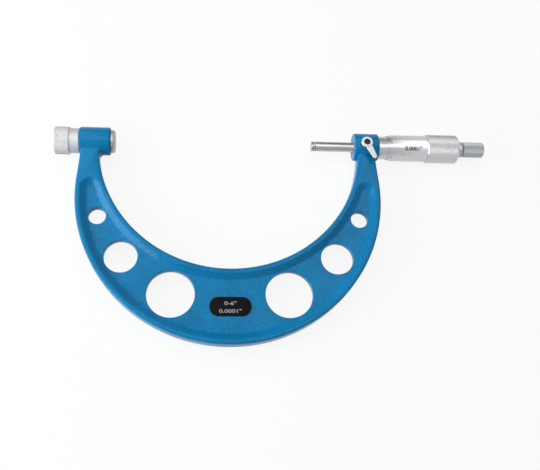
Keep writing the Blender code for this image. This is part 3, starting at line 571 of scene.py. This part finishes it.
class Bow:
    """The bow's outlines, in metres from the point of the measuring axis above its middle."""

    # Steps of the arcs, the fillets, a pocket's end and the rounded edges
    ARC_STEPS = 72
    FILLET_STEPS = 8
    END_STEPS = 20
    ROUND_STEPS = 5

    # Where the inner arc has its centre, and the shape of necks and bosses
    CENTRE_Y = -0.0020
    NECK_TAPER = 0.0150
    NECK_ROOT = 0.0045
    FLANGE_STANDOUT = 0.0027
    RIGHT_BOSS_LENGTH = 0.0162
    RIGHT_BOSS_OVERHANG = 0.0023

    # What keeps faces from lying in one another
    HAIR = 0.0001

    # Pockets and holes
    POCKET_END = math.radians(9.3)
    HOLE_ANGLES = [math.radians(angle) for angle in (21.3, 40.7, 65.8)]
    HOLE_FLARE = 0.0005

    # Bores of the bosses, and the seat of the lock in the right one
    BUSH_BORE = 0.00615
    SPINDLE_BORE = 0.003375
    SPINDLE_BORE_LENGTH = 0.0020
    LOCK_X = 0.0074
    LOCK_BORE = 0.0021
    LOCK_SEAT = 0.0083
    LOCK_SEAT_RADIUS = 0.0040

    def __init__(self, sizes):
        self.sizes = sizes
        self.left_end = span("anvil_cap_nut")[1] + WALL_GAP - MIDDLE_X
        self.left_start = span("anvil_bush")[1] - self.FLANGE_STANDOUT - MIDDLE_X
        self.right_end = span("sleeve")[0] - WALL_GAP - MIDDLE_X
        self.right_start = self.right_end - self.RIGHT_BOSS_LENGTH
        self.inner_radius = self.right_start + self.RIGHT_BOSS_OVERHANG
        self.outer_radius = self.inner_radius + sizes.side_width
        bottom = self.CENTRE_Y - self.inner_radius - sizes.bottom_width
        self.outer_y = bottom + self.outer_radius
        self.web_y = (self.CENTRE_Y + self.outer_y) / 2
        self.web_height = (self.inner_radius + self.outer_radius) / 2
        self.web_width = math.sqrt(self.web_height**2 - (self.CENTRE_Y - self.web_y) ** 2)

    def half(self, boss_x, boss_end_x, z):
        """Right half of the outline at a height, from the middle of the inner arc over the neck and back."""
        sizes = self.sizes
        boss_y = self.HAIR - math.sqrt(sizes.boss_radius**2 - z**2)
        neck_x = self.inner_radius + sizes.neck_width
        inner_fillet = min(sizes.neck_fillet, self.inner_radius - boss_x - 2 * sizes.boss_edge)
        outer_fillet = min(sizes.neck_fillet, boss_end_x - neck_x - sizes.boss_edge)
        inner_end = math.asin((boss_y - inner_fillet - self.CENTRE_Y) / self.inner_radius)
        points = arc(Vector((0, self.CENTRE_Y)), self.inner_radius, -math.pi / 2, inner_end, self.ARC_STEPS)
        centre = points[-1] - Vector((inner_fillet, 0))
        points += arc(centre, inner_fillet, 0, math.pi / 2, self.FILLET_STEPS)[1:]
        points.append(Vector((points[-1].x, -self.NECK_ROOT)))
        centre = Vector((neck_x + outer_fillet, boss_y - outer_fillet))
        points.append(Vector((centre.x, -self.NECK_ROOT)))
        points += arc(centre, outer_fillet, math.pi / 2, math.pi, self.FILLET_STEPS)
        taper_y = -sizes.boss_radius - self.NECK_TAPER
        outer_end = math.asin((taper_y - self.outer_y) / self.outer_radius)
        centre = Vector((0, self.outer_y))
        return points + arc(centre, self.outer_radius, outer_end, -math.pi / 2, self.ARC_STEPS)

    def outline(self, z):
        """Counter-clockwise outline of the whole bow at a height."""
        right = self.half(self.right_start, self.right_end, z)
        left = self.mirrored(self.half(-self.left_start, -self.left_end, z))
        return list(reversed(right[1:] + left[1:]))

    @staticmethod
    def mirrored(points):
        """The same points on the other side of the middle line, in the opposite order."""
        return [Vector((-point.x, point.y)) for point in reversed(points)]

    def plate(self):
        """The bow before its pockets are cut."""
        half, edge = self.sizes.thickness / 2, self.sizes.edge_radius
        angles = spaced(0, math.pi / 2, self.ROUND_STEPS)
        rounds = [(edge * (1 - math.cos(a)), half - edge * (1 - math.sin(a))) for a in angles]
        levels = [(way_in, -z) for way_in, z in reversed(rounds)] + [(0.0, 0.0)] + rounds
        return stacked([(inset(self.outline(z), way_in), z) for way_in, z in levels])

    def web_point(self, angle):
        """Middle of the web at an angle, and how far it is from the bow's edges."""
        middle = Vector((self.web_width * math.cos(angle), self.web_y - self.web_height * math.sin(angle)))
        return middle, (middle - Vector((0, self.CENTRE_Y))).length - self.inner_radius

    def pocket_outline(self):
        """Counter-clockwise outline of a pocket at its lip."""
        inner, outer = Vector((0, self.CENTRE_Y)), Vector((0, self.outer_y))
        middle, half_width = self.web_point(self.POCKET_END)
        rim = self.sizes.rim_width
        start = math.atan2(*reversed(middle - inner))
        end = math.atan2(*reversed(middle - outer))
        half = arc(inner, self.inner_radius + rim, -math.pi / 2, start, self.ARC_STEPS)
        half += arc(middle, half_width - rim, start + math.pi, end, self.END_STEPS)[1:-1]
        half += arc(outer, self.outer_radius - rim, end, -math.pi / 2, self.ARC_STEPS)
        return list(reversed(half[1:] + self.mirrored(half)[1:]))

    def pocket(self, side):
        """Hollow of a pocket: a sloping wall, rounded at its lip and its foot, down to the web."""
        sizes = self.sizes
        face, floor = sizes.thickness / 2, sizes.web_thickness / 2
        lip, foot = (0.0, face), (sizes.slope_width, floor)
        section = eased((-1.0, face), lip, foot, sizes.pocket_radius, self.ROUND_STEPS)
        section += eased(lip, foot, (1.0, floor), sizes.pocket_radius, self.ROUND_STEPS)
        section.insert(0, Vector((section[0].x, face + PAST)))
        outline = self.pocket_outline()
        return stacked([(inset(outline, point.x), side * point.y) for point in section])

    def hole(self, angle, side):
        """A lightening hole through the web, flared at both faces."""
        sizes = self.sizes
        middle, half_width = self.web_point(angle)
        mouth = half_width - sizes.rim_width - sizes.slope_width - self.HAIR
        face, flare = sizes.web_thickness / 2, self.HOLE_FLARE
        upper = [(face - flare + flare * math.sin(a), mouth - flare * math.cos(a)) for a in spaced(0, 1.5, 4)]
        upper += [(face, mouth), (sizes.thickness / 2, mouth)]
        lower = [(-x, radius) for x, radius in reversed(upper)]
        cutter = turned([(lower[0][0], 0.0)] + lower + upper + [(upper[-1][0], 0.0)])
        return upright(cutter, side * middle.x, middle.y)

    def boss(self, start, end):
        """A boss with rounded ends."""
        radius, edge = self.sizes.boss_radius, self.sizes.boss_edge
        angles = spaced(0, math.pi / 2, 6)
        rounds = [(edge * (1 - math.sin(a)), radius - edge * (1 - math.cos(a))) for a in angles]
        first = [(start + x, height) for x, height in reversed(rounds)]
        last = [(end - x, height) for x, height in rounds]
        return turned([(start, 0.0)] + first + last + [(end, 0.0)])


def make_bow():
    """The cast bow with its pockets, holes and bored bosses."""
    bow = Bow(bpy.context.scene.micrometer_bow)
    steps = [("DIFFERENCE", bow.pocket(side)) for side in (1, -1)]
    for angle in bow.HOLE_ANGLES:
        steps += [("DIFFERENCE", bow.hole(angle, side)) for side in (1, -1)]
    steps.append(("UNION", bow.boss(bow.left_end, bow.left_start)))
    steps.append(("UNION", bow.boss(bow.right_start, bow.right_end)))
    bush = [(bow.left_end - PAST, bow.BUSH_BORE), (bow.left_start + PAST, None)]
    shoulder = bow.right_start + bow.SPINDLE_BORE_LENGTH
    guide = [(bow.right_start - PAST, bow.SPINDLE_BORE), (shoulder, SLEEVE_BORE)]
    guide.append((bow.right_end + PAST, None))
    lock = [(0.0, bow.LOCK_BORE), (bow.LOCK_SEAT, bow.LOCK_SEAT_RADIUS), (bow.sizes.boss_radius + PAST, None)]
    steps += [("DIFFERENCE", stepped(bush)), ("DIFFERENCE", stepped(guide))]
    steps.append(("DIFFERENCE", upright(stepped(lock, 64), bow.right_start + bow.LOCK_X, LOCK_Y)))
    bm = carved(bow.plate(), *steps)
    bmesh.ops.translate(bm, verts=bm.verts, vec=(MIDDLE_X, 0.0, 0.0))
    show("bow_casting", bm, finish("blue_enamel"), "bow", ["frame"], sharp=34)


def make_label():
    """The label plate and its letters."""
    scales = bpy.context.scene.micrometer_scales
    low, high = LABEL_LOW, LABEL_HIGH
    corner, corner_steps, edge = 0.0055, 12, 0.00018
    letter_height, weight = 0.0022, 0.00005
    across, up = (high.x - low.x) / 2 - corner, (high.y - low.y) / 2 - corner
    outline = []
    for x, y, turn in ((across, -up, -0.25), (across, up, 0.0), (-across, up, 0.25), (-across, -up, 0.5)):
        start = turn * math.tau
        outline += arc(Vector((x, y)), corner, start, start + math.pi / 2, corner_steps)
    bm = stacked([(outline, low.z), (outline, high.z)])
    break_edges(bm, edge)
    middle = Vector((MIDDLE_X, (low.y + high.y) / 2, 0.0))
    bmesh.ops.translate(bm, verts=bm.verts, vec=middle)
    show("range_label", bm, finish("black_enamel"), "bow", ["label_plate"], raised=False)
    lines = []
    for words, y, width in ((scales.label_top, 0.0018, 0.0074), (scales.label_bottom, -0.0030, 0.0137)):
        line = letters(words, letter_height, scales.relief, width, weight)
        bmesh.ops.translate(line, verts=line.verts, vec=middle + Vector((0.0, y, high.z)))
        lines.append(line)
    show("range_letters", gathered(lines), finish("letters"), "bow", raised=False)


def make_anvil_end():
    """The flanged bush in the left boss and the anvil's carbide tip."""
    start, end, radius = span("anvil_bush")
    bore, shank, flange, nose = 0.00415, 0.0060, 0.0024, 0.0009
    step = end - flange
    bush = [(start, bore), (start, shank), (step, shank), (step, radius), (end - nose, radius)]
    bush += [(end, radius - nose), (end, bore)]
    bm = turned(bush)
    break_edges(bm, bpy.context.scene.micrometer_knurls.edge)
    show("anvil_flange", bm, finish("dull_chrome"), "bow", ["anvil_bush"])
    start, end, radius = span("anvil_tip")
    tip = [(start, 0.0), (start, radius - TIP_CHAMFER), (start + TIP_CHAMFER, radius)]
    tip += [(end - TIP_CHAMFER, radius), (end, radius - TIP_CHAMFER), (end, 0.0)]
    bm = turned(tip, FINE_STEPS)
    break_edges(bm, FINE_EDGE)
    show("carbide_anvil", bm, finish("carbide"), "bow", ["anvil_tip"])


def make_cap_nut():
    """The knurled cap nut behind the left boss."""
    knurls = bpy.context.scene.micrometer_knurls
    start, end, radius = span("anvil_cap_nut")
    head, chamfer, skirt, bore, lid = 0.0092, 0.0004, 0.0080, 0.0062, 0.0016
    head_end, floor = start + head, start + lid
    low, high = start + chamfer, head_end - chamfer
    cap = [(start, 0.0), (start, radius - chamfer)]
    cap += [(x, radius) for x in spaced(low, high, knurls.cap_rows)]
    cap += [(head_end, radius - chamfer), (head_end, skirt), (end, skirt), (end, bore)]
    cap += [(floor, bore), (floor, 0.0)]
    bm = turned(cap, knurls.cap_columns)
    press_diamonds(bm, radius, low, high, knurls.cap_rows, knurls.cap_columns, knurls.depth)
    show("knurled_cap", bm, finish("knurled_chrome"), "cap", ["anvil_cap_nut"], sharp=20)


def make_sleeve():
    """The graduated sleeve, with its datum line, marks and numbers."""
    knurls = bpy.context.scene.micrometer_knurls
    scales = bpy.context.scene.micrometer_scales
    start, end, radius = span("sleeve")
    marks, marks_per_number, long_mark, short_mark = 41, 4, 0.0022, 0.0012
    number_height, number_rise, datum_margin = 0.0014, 0.0032, 0.0012
    bm = turned([(start, SLEEVE_BORE), (start, radius), (end, radius), (end, SLEEVE_BORE)])
    break_edges(bm, knurls.edge)
    show("graduated_sleeve", bm, finish("satin_chrome"), "bow", ["sleeve"])

    def lay(bm, x, rise):
        return wrap(bm, x, rise / radius, lambda station: radius)

    zero = span("thimble")[0]
    datum = stroke(end - start - datum_margin, scales.line_width, scales.relief)
    scale = [lay(datum, (start + end) / 2, 0.0)]
    for step in range(marks):
        reach = short_mark if step % marks_per_number else long_mark
        mark = stroke(scales.line_width, reach, scales.relief)
        scale.append(lay(mark, zero + step * scales.pitch, reach / 2))
    for step in range(0, marks, marks_per_number):
        number = letters(str(step // marks_per_number % 10), number_height, scales.relief)
        scale.append(lay(number, zero + step * scales.pitch, number_rise))
    show("sleeve_scale", gathered(scale), finish("ink"), "bow")


def make_spindle():
    """The ground spindle with its carbide tip."""
    start, end, _ = span("spindle")
    tip_start, tip_end, radius = span("spindle_tip")
    thread, guide, cone, cone_end, hole, hole_depth = 0.0038, 0.0124, 0.0040, 0.0030, 0.0017, 0.0073
    thread_x = span("inner_sleeve")[0] + guide
    spindle = [(start, 0.0), (start, radius), (thread_x, radius), (thread_x, thread), (end - cone, thread)]
    spindle += [(end, cone_end), (end, hole), (end - hole_depth, hole), (end - hole_depth, 0.0)]
    bm = turned(spindle, FINE_STEPS)
    break_edges(bm, FINE_EDGE)
    show("ground_spindle", bm, finish("ground_steel"), "spindle", ["spindle"])
    brazed = TIP_CHAMFER / 3
    tip = [(tip_start, 0.0), (tip_start, radius - TIP_CHAMFER), (tip_start + TIP_CHAMFER, radius)]
    tip += [(tip_end - brazed, radius), (tip_end, radius - brazed), (tip_end, 0.0)]
    bm = turned(tip, FINE_STEPS)
    break_edges(bm, 0.75 * FINE_EDGE)
    show("carbide_spindle_tip", bm, finish("carbide"), "spindle", ["spindle_tip"])


def make_thimble():
    """The thimble: bevelled edge with its scale, plain barrel with its words, and knurled grip."""
    knurls = bpy.context.scene.micrometer_knurls
    scales = bpy.context.scene.micrometer_scales
    start, end, grip_radius = span("thimble")
    bore, barrel, bevel, step, chamfer = 0.00775, 0.0086, 0.0032, 0.0004, 0.0010
    grip, wall, nose_bore, cone_bore = 0.0211, 0.0076, 0.0032, 0.0040
    lip = bore + 0.0001
    grip_x, wall_x, taper_end = end - grip, end - wall, span("spindle")[1]
    low, high = grip_x + step, end - chamfer
    profile = [(start, bore), (start, lip), (start + bevel, barrel), (grip_x, barrel)]
    profile += [(grip_x, grip_radius - step)]
    profile += [(x, grip_radius) for x in spaced(low, high, knurls.grip_rows)]
    profile += [(end, grip_radius - chamfer), (end, nose_bore), (taper_end, nose_bore)]
    profile += [(wall_x, cone_bore), (wall_x, bore)]
    bm = turned(profile, knurls.grip_columns)
    press_diamonds(bm, grip_radius, low, high, knurls.grip_rows, knurls.grip_columns, knurls.depth)
    show("knurled_thimble", bm, finish("satin_chrome"), "thimble", ["thimble"], sharp=20)

    def on_bevel(x):
        return lip + (barrel - lip) * min(1.0, max(0.0, (x - start) / bevel))

    margin, long_mark, short_mark, marks_per_number = 0.00015, 0.0017, 0.0011, 5
    number_height, number_x = 0.0010, 0.0026
    scale = []
    for division in range(scales.divisions):
        reach = short_mark if division % marks_per_number else long_mark
        bar = stroke(reach, scales.line_width, scales.relief)
        turn = division / scales.divisions * math.tau
        scale.append(wrap(bar, start + margin + reach / 2, turn, on_bevel))
        if division % marks_per_number == 0:
            number = letters(str(division), number_height, scales.relief)
            scale.append(wrap(number, start + number_x, turn, on_bevel))
    height, width, weight, words_x, words_turn = 0.0026, 0.0113, 0.00012, 0.0169, math.radians(-25)
    reading = letters(scales.barrel_words, height, scales.relief, width, weight)
    scale.append(wrap(reading, start + words_x, words_turn, lambda x: barrel))
    show("thimble_scale", gathered(scale), finish("ink"), "thimble")


def make_ratchet():
    """The collar on the thimble and the fluted knob."""
    knurls = bpy.context.scene.micrometer_knurls
    start, _, radius = span("ratchet_collar")
    chamfer, spigot, screw_hole, width = 0.0004, 0.0030, 0.00165, 0.0033
    seat_radius, seat_height = 0.0034, 0.0002
    rim = span("thimble")[1] + WALL_GAP
    face = rim + width
    seat = face + seat_height
    collar = [(start, screw_hole), (start, spigot), (rim, spigot), (rim, radius - chamfer)]
    collar += [(rim + chamfer, radius), (face - chamfer, radius), (face, radius - chamfer)]
    collar += [(face, seat_radius), (seat, seat_radius), (seat, screw_hole)]
    bm = turned(collar)
    break_edges(bm, FINE_EDGE)
    show("ratchet_base", bm, finish("dull_chrome"), "thimble", ["ratchet_collar"])
    start, end, radius = span("ratchet_knob")
    chamfer, recess, recess_depth, hole, web, hollow = 0.0007, 0.0026, 0.0016, 0.0017, 0.0022, 0.0036
    counterbore = end - recess_depth
    cavity = counterbore - web
    knob = [(start, hollow), (start, radius - chamfer), (start + chamfer, radius), (end - chamfer, radius)]
    knob += [(end, radius - chamfer), (end, recess), (counterbore, recess), (counterbore, hole)]
    knob += [(cavity, hole), (cavity, hollow)]
    steps_per_flute = 4
    steps = knurls.flutes * steps_per_flute
    bm = turned(knob, steps)
    for vert in at_radius(bm, radius, start, end):
        dip = 0.5 + 0.5 * math.cos(math.tau * column_of(vert, steps) / steps_per_flute)
        vert.co.yz *= 1 - knurls.flute_depth * dip / radius
    show("fluted_knob", bm, finish("dull_chrome"), "ratchet", ["ratchet_knob"], sharp=25)


def make_lock():
    """The lever of the spindle lock and the screw that holds it."""
    low, high = (Vector(corner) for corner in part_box("lock_screw"))
    lever_low, lever_high = (corner[2] - AXIS_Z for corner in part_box("lock_lever"))
    lock_x, head_top = (low.x + high.x) / 2, high.z - AXIS_Z
    head = high.x - lock_x
    place = (lock_x, LOCK_Y, 0.0)
    hub, eye, pin, edge, seat_gap, seat_depth = 0.0038, 0.0023, 0.00145, 0.0004, 0.00015, 0.0010
    root, reach, tip_radius, turn = 0.0025, 0.0108, 0.0015, math.radians(-65)
    arm_low, arm_high, arm_edge, arm_angle = 0.0007, 0.0026, 0.0005, 60
    spread = math.acos((root - tip_radius) / reach)
    tip = reach * Vector((math.cos(turn), math.sin(turn)))
    outline = arc(tip, tip_radius, turn - spread, turn + spread, 16)
    outline += arc(Vector((0, 0)), root, turn + spread, turn - spread + math.tau, 32)
    arm = stacked([(outline, lever_low + arm_low), (outline, lever_low + arm_high)])
    break_edges(arm, arm_edge, 3, arm_angle)
    seat, step = head + seat_gap, head_top - seat_depth
    section = [(lever_low, pin), (lever_low, hub - edge), (lever_low + edge, hub), (lever_high - edge, hub)]
    section += [(lever_high, hub - edge), (lever_high, seat), (step, seat), (step, pin)]
    ring = upright(turned(section, FINE_STEPS))
    hollow = upright(stepped([(lever_low - PAST, eye), (lever_high + PAST, None)], FINE_STEPS))
    bm = carved(arm, ("DIFFERENCE", hollow), ("UNION", ring))
    bmesh.ops.translate(bm, verts=bm.verts, vec=place)
    # The arm's darker chrome is painted shade
    show("lock_arm", bm, finish("worn_chrome"), "lock", ["lock_lever"])
    shank, head_height, socket_radius, socket_depth, screw_edge = 0.0008, 0.0007, 0.0011, 0.0004, 0.00012
    body = stepped([(low.z - AXIS_Z, shank), (head_top - head_height, head), (head_top, None)], 64)
    break_edges(body, screw_edge)
    socket = upright(stepped([(head_top - socket_depth, socket_radius), (head_top + PAST, None)], 6))
    bm = carved(upright(body), ("DIFFERENCE", socket))
    bmesh.ops.translate(bm, verts=bm.verts, vec=place)
    show("socket_screw", bm, finish("black_steel"), "lock", ["lock_screw"])


INNER_STEEL = (
    "anvil", "anvil_setting_nut", "anvil_lock_nut", "anvil_washer", "inner_sleeve", "adjusting_nut",
    "ratchet_screw", "ratchet_wheel", "ratchet_spring", "lock_stud",
)


def dress_inner_pieces():
    """Gives the pieces inside their finishes; their solids stay as they are."""
    for node in (*INNER_STEEL, "lock_pad"):
        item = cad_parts[node]
        if not item.material_slots:
            raise RuntimeError(f"{node} has no material slot")
        for place in item.material_slots:
            place.material = finish("brass" if node == "lock_pad" else "ground_steel")


# Stage

def soft_lamp(name, level, size_x, size_y, place, target):
    """An area lamp at a place, turned towards a target, that shows only in gloss and as light."""
    lamp = bpy.data.lights.new(name, "AREA")
    lamp.shape = "RECTANGLE"
    lamp.size = size_x
    lamp.size_y = size_y
    lamp.energy = level * math.pi * size_x * size_y
    item = linked(name, lamp)
    item.location = place
    item.rotation_euler = (Vector(target) - Vector(place)).to_track_quat("-Z", "Y").to_euler()
    item.visible_camera = False


def grid(name, size_x, size_y, matrix, material):
    """A flat rectangle for the stage."""
    bm = bmesh.new()
    bmesh.ops.create_grid(bm, x_segments=1, y_segments=1, size=0.5)
    bmesh.ops.scale(bm, verts=bm.verts, vec=(size_x, size_y, 1.0))
    bmesh.ops.transform(bm, verts=bm.verts, matrix=matrix)
    mesh = mesh_of(name, bm)
    mesh.materials.append(material)
    item = linked(name, mesh)
    return item


def bare_tree(block):
    """The emptied node tree of a material or of the world."""
    block.use_nodes = True
    block.node_tree.nodes.clear()
    return block.node_tree


def screen(name, tone, size_x, size_y, place):
    """A grey screen beside the object, which only metal and gloss show."""
    material = bpy.data.materials.new(name)
    tree = bare_tree(material)
    glow = add(tree, "Emission", {"Color": WHITE, "Strength": tone}).outputs[0]
    add(tree, "OutputMaterial", {"Surface": glow})
    turn = Vector(place).to_track_quat("Z", "X").to_matrix().to_4x4()
    item = grid(name, size_x, size_y, Matrix.Translation(place) @ turn, material)
    for kind in ("camera", "diffuse", "transmission", "shadow", "volume_scatter"):
        setattr(item, f"visible_{kind}", False)


def ray_kinds(tree):
    """One for rays from the camera, from gloss and through glass, and zero for the rest."""
    rays = add(tree, "LightPath").outputs
    inputs = {0: rays["Is Camera Ray"], 1: rays["Is Glossy Ray"]}
    first = add(tree, "Math", inputs, operation="MAXIMUM").outputs[0]
    return add(tree, "Math", {0: first, 1: rays["Is Transmission Ray"]}, operation="MAXIMUM").outputs[0]


def make_floor(tone):
    """A pale floor that keeps the shadow and fades to white beyond it."""
    size, near, far, near_share = 6.0, 0.2, 0.5, 0.88
    material = bpy.data.materials.new("floor_paper")
    tree = bare_tree(material)
    paper = add(tree, "BsdfDiffuse", {"Color": (*tone, 1.0)}).outputs[0]
    glow = add(tree, "Emission", {"Color": WHITE, "Strength": 1.0}).outputs[0]
    place = add(tree, "TexCoord").outputs["Object"]
    away = add(tree, "VectorMath", {0: place}, operation="LENGTH").outputs["Value"]
    share = ranged(tree, away, near_share, 1.0, near, far)
    seen = add(tree, "Math", {0: ray_kinds(tree), 1: share}, operation="MULTIPLY").outputs[0]
    mixed = add(tree, "MixShader", {0: seen, 1: paper, 2: glow}).outputs[0]
    add(tree, "OutputMaterial", {"Surface": mixed})
    grid("floor", size, size, Matrix.Identity(4), material)


def make_surround(strength):
    """A white background for the camera, and a plain pale surround for the light."""
    world = bpy.data.worlds.new("surround")
    bpy.context.scene.world = world
    tree = bare_tree(world)
    seen = ray_kinds(tree)
    white = add(tree, "Background", {"Color": WHITE, "Strength": 1.0}).outputs[0]
    plain = add(tree, "Background", {"Color": WHITE, "Strength": strength}).outputs[0]
    mixed = add(tree, "MixShader", {0: seen, 1: plain, 2: white}).outputs[0]
    add(tree, "OutputWorld", {"Surface": mixed})


def make_camera():
    """The camera at the photograph's viewing angle."""
    camera = bpy.data.cameras.new("camera")
    camera.lens = 53.33
    camera.sensor_width = 36.0
    camera.clip_start = 0.01
    camera.clip_end = 20.0
    tilt_y, tilt_x, roll = -0.0995, 0.3259, -0.0188
    turn = Matrix.Rotation(tilt_y, 4, "Y") @ Matrix.Rotation(tilt_x, 4, "X") @ Matrix.Rotation(roll, 4, "Z")
    place = Vector((MIDDLE_X - 0.0223, AXIS_Y - 0.2236, AXIS_Z + 0.4756))
    item = linked("camera", camera)
    item.matrix_world = Matrix.Translation(place) @ turn
    bpy.context.scene.camera = item


def make_stage():
    """Floor, light and camera."""
    settings = bpy.context.scene.micrometer_stage
    make_floor(settings.floor)
    make_surround(settings.sky)
    soft_lamp("overhead", settings.overhead, 1.4, 1.7, (-0.10, 0.60, 1.15), (-0.10, 0.60, 0.0))
    soft_lamp("key", settings.key, 0.80, 0.36, (-0.62, -0.10, 0.26), (0.0, 0.0, 0.0))
    screen("upper_screen", settings.upper, 3.0, 0.30, (0.0, 0.70, 0.38))
    screen("lower_screen", settings.lower, 3.0, 0.40, (0.0, -0.65, 0.40))
    make_camera()
    bpy.context.scene.view_settings.view_transform = "Standard"


# Operators

class MICROMETER_OT_bow(bpy.types.Operator):
    """Casts the bow with its pockets, holes and bosses"""

    bl_idname = "micrometer.bow"
    bl_label = "Bow"

    def execute(self, context):
        make_bow()
        return {"FINISHED"}


class MICROMETER_OT_label(bpy.types.Operator):
    """Adds the label plate and its letters"""

    bl_idname = "micrometer.label"
    bl_label = "Label"

    def execute(self, context):
        make_label()
        return {"FINISHED"}


class MICROMETER_OT_anvil(bpy.types.Operator):
    """Turns the anvil's bush and tip"""

    bl_idname = "micrometer.anvil"
    bl_label = "Anvil"

    def execute(self, context):
        make_anvil_end()
        return {"FINISHED"}


class MICROMETER_OT_cap_nut(bpy.types.Operator):
    """Turns and knurls the cap nut"""

    bl_idname = "micrometer.cap_nut"
    bl_label = "Cap nut"

    def execute(self, context):
        make_cap_nut()
        return {"FINISHED"}


class MICROMETER_OT_sleeve(bpy.types.Operator):
    """Turns the sleeve and lays out its scale"""

    bl_idname = "micrometer.sleeve"
    bl_label = "Sleeve"

    def execute(self, context):
        make_sleeve()
        return {"FINISHED"}


class MICROMETER_OT_spindle(bpy.types.Operator):
    """Grinds the spindle and its tip"""

    bl_idname = "micrometer.spindle"
    bl_label = "Spindle"

    def execute(self, context):
        make_spindle()
        return {"FINISHED"}


class MICROMETER_OT_thimble(bpy.types.Operator):
    """Turns and knurls the thimble and lays out its scale"""

    bl_idname = "micrometer.thimble"
    bl_label = "Thimble"

    def execute(self, context):
        make_thimble()
        return {"FINISHED"}


class MICROMETER_OT_ratchet(bpy.types.Operator):
    """Turns the ratchet's base and its fluted knob"""

    bl_idname = "micrometer.ratchet"
    bl_label = "Ratchet stop"

    def execute(self, context):
        make_ratchet()
        return {"FINISHED"}


class MICROMETER_OT_lock(bpy.types.Operator):
    """Makes the lever and screw of the spindle lock"""

    bl_idname = "micrometer.lock"
    bl_label = "Spindle lock"

    def execute(self, context):
        make_lock()
        return {"FINISHED"}


class MICROMETER_OT_inner_pieces(bpy.types.Operator):
    """Gives the pieces inside their finishes"""

    bl_idname = "micrometer.inner_pieces"
    bl_label = "Inner pieces"

    def execute(self, context):
        dress_inner_pieces()
        return {"FINISHED"}


class MICROMETER_OT_stage(bpy.types.Operator):
    """Sets up the floor, the light and the camera"""

    bl_idname = "micrometer.stage"
    bl_label = "Stage"

    def execute(self, context):
        make_stage()
        return {"FINISHED"}


OPERATORS = (
    MICROMETER_OT_bow,
    MICROMETER_OT_label,
    MICROMETER_OT_anvil,
    MICROMETER_OT_cap_nut,
    MICROMETER_OT_sleeve,
    MICROMETER_OT_spindle,
    MICROMETER_OT_thimble,
    MICROMETER_OT_ratchet,
    MICROMETER_OT_lock,
    MICROMETER_OT_inner_pieces,
    MICROMETER_OT_stage,
)


class MICROMETER_PT_panel(bpy.types.Panel):
    """Lists the pieces and their settings"""

    bl_label = "Outside Micrometer"
    bl_idname = "MICROMETER_PT_panel"
    bl_space_type = "VIEW_3D"
    bl_region_type = "UI"
    bl_category = "Micrometer"

    def draw(self, context):
        for operator in OPERATORS:
            self.layout.operator(operator.bl_idname)
        for name, group in SETTINGS.items():
            box = self.layout.box()
            box.label(text=group.__doc__)
            for prop in group.__annotations__:
                box.prop(getattr(context.scene, name), prop)


def register():
    """Registers the settings, the operators and the panel."""
    for group in SETTINGS.values():
        bpy.utils.register_class(group)
    for name, group in SETTINGS.items():
        setattr(bpy.types.Scene, name, PointerProperty(type=group))
    for operator in OPERATORS:
        bpy.utils.register_class(operator)
    bpy.utils.register_class(MICROMETER_PT_panel)


def unregister():
    """Removes what register added."""
    bpy.utils.unregister_class(MICROMETER_PT_panel)
    for operator in reversed(OPERATORS):
        bpy.utils.unregister_class(operator)
    for name in SETTINGS:
        delattr(bpy.types.Scene, name)
    for group in reversed(list(SETTINGS.values())):
        bpy.utils.unregister_class(group)


def main():
    """Registers the add-on and makes every piece in order."""
    register()
    bpy.ops.micrometer.bow()
    bpy.ops.micrometer.label()
    bpy.ops.micrometer.anvil()
    bpy.ops.micrometer.cap_nut()
    bpy.ops.micrometer.sleeve()
    bpy.ops.micrometer.spindle()
    bpy.ops.micrometer.thimble()
    bpy.ops.micrometer.ratchet()
    bpy.ops.micrometer.lock()
    bpy.ops.micrometer.inner_pieces()
    bpy.ops.micrometer.stage()


if __name__ == "__main__":
    main()
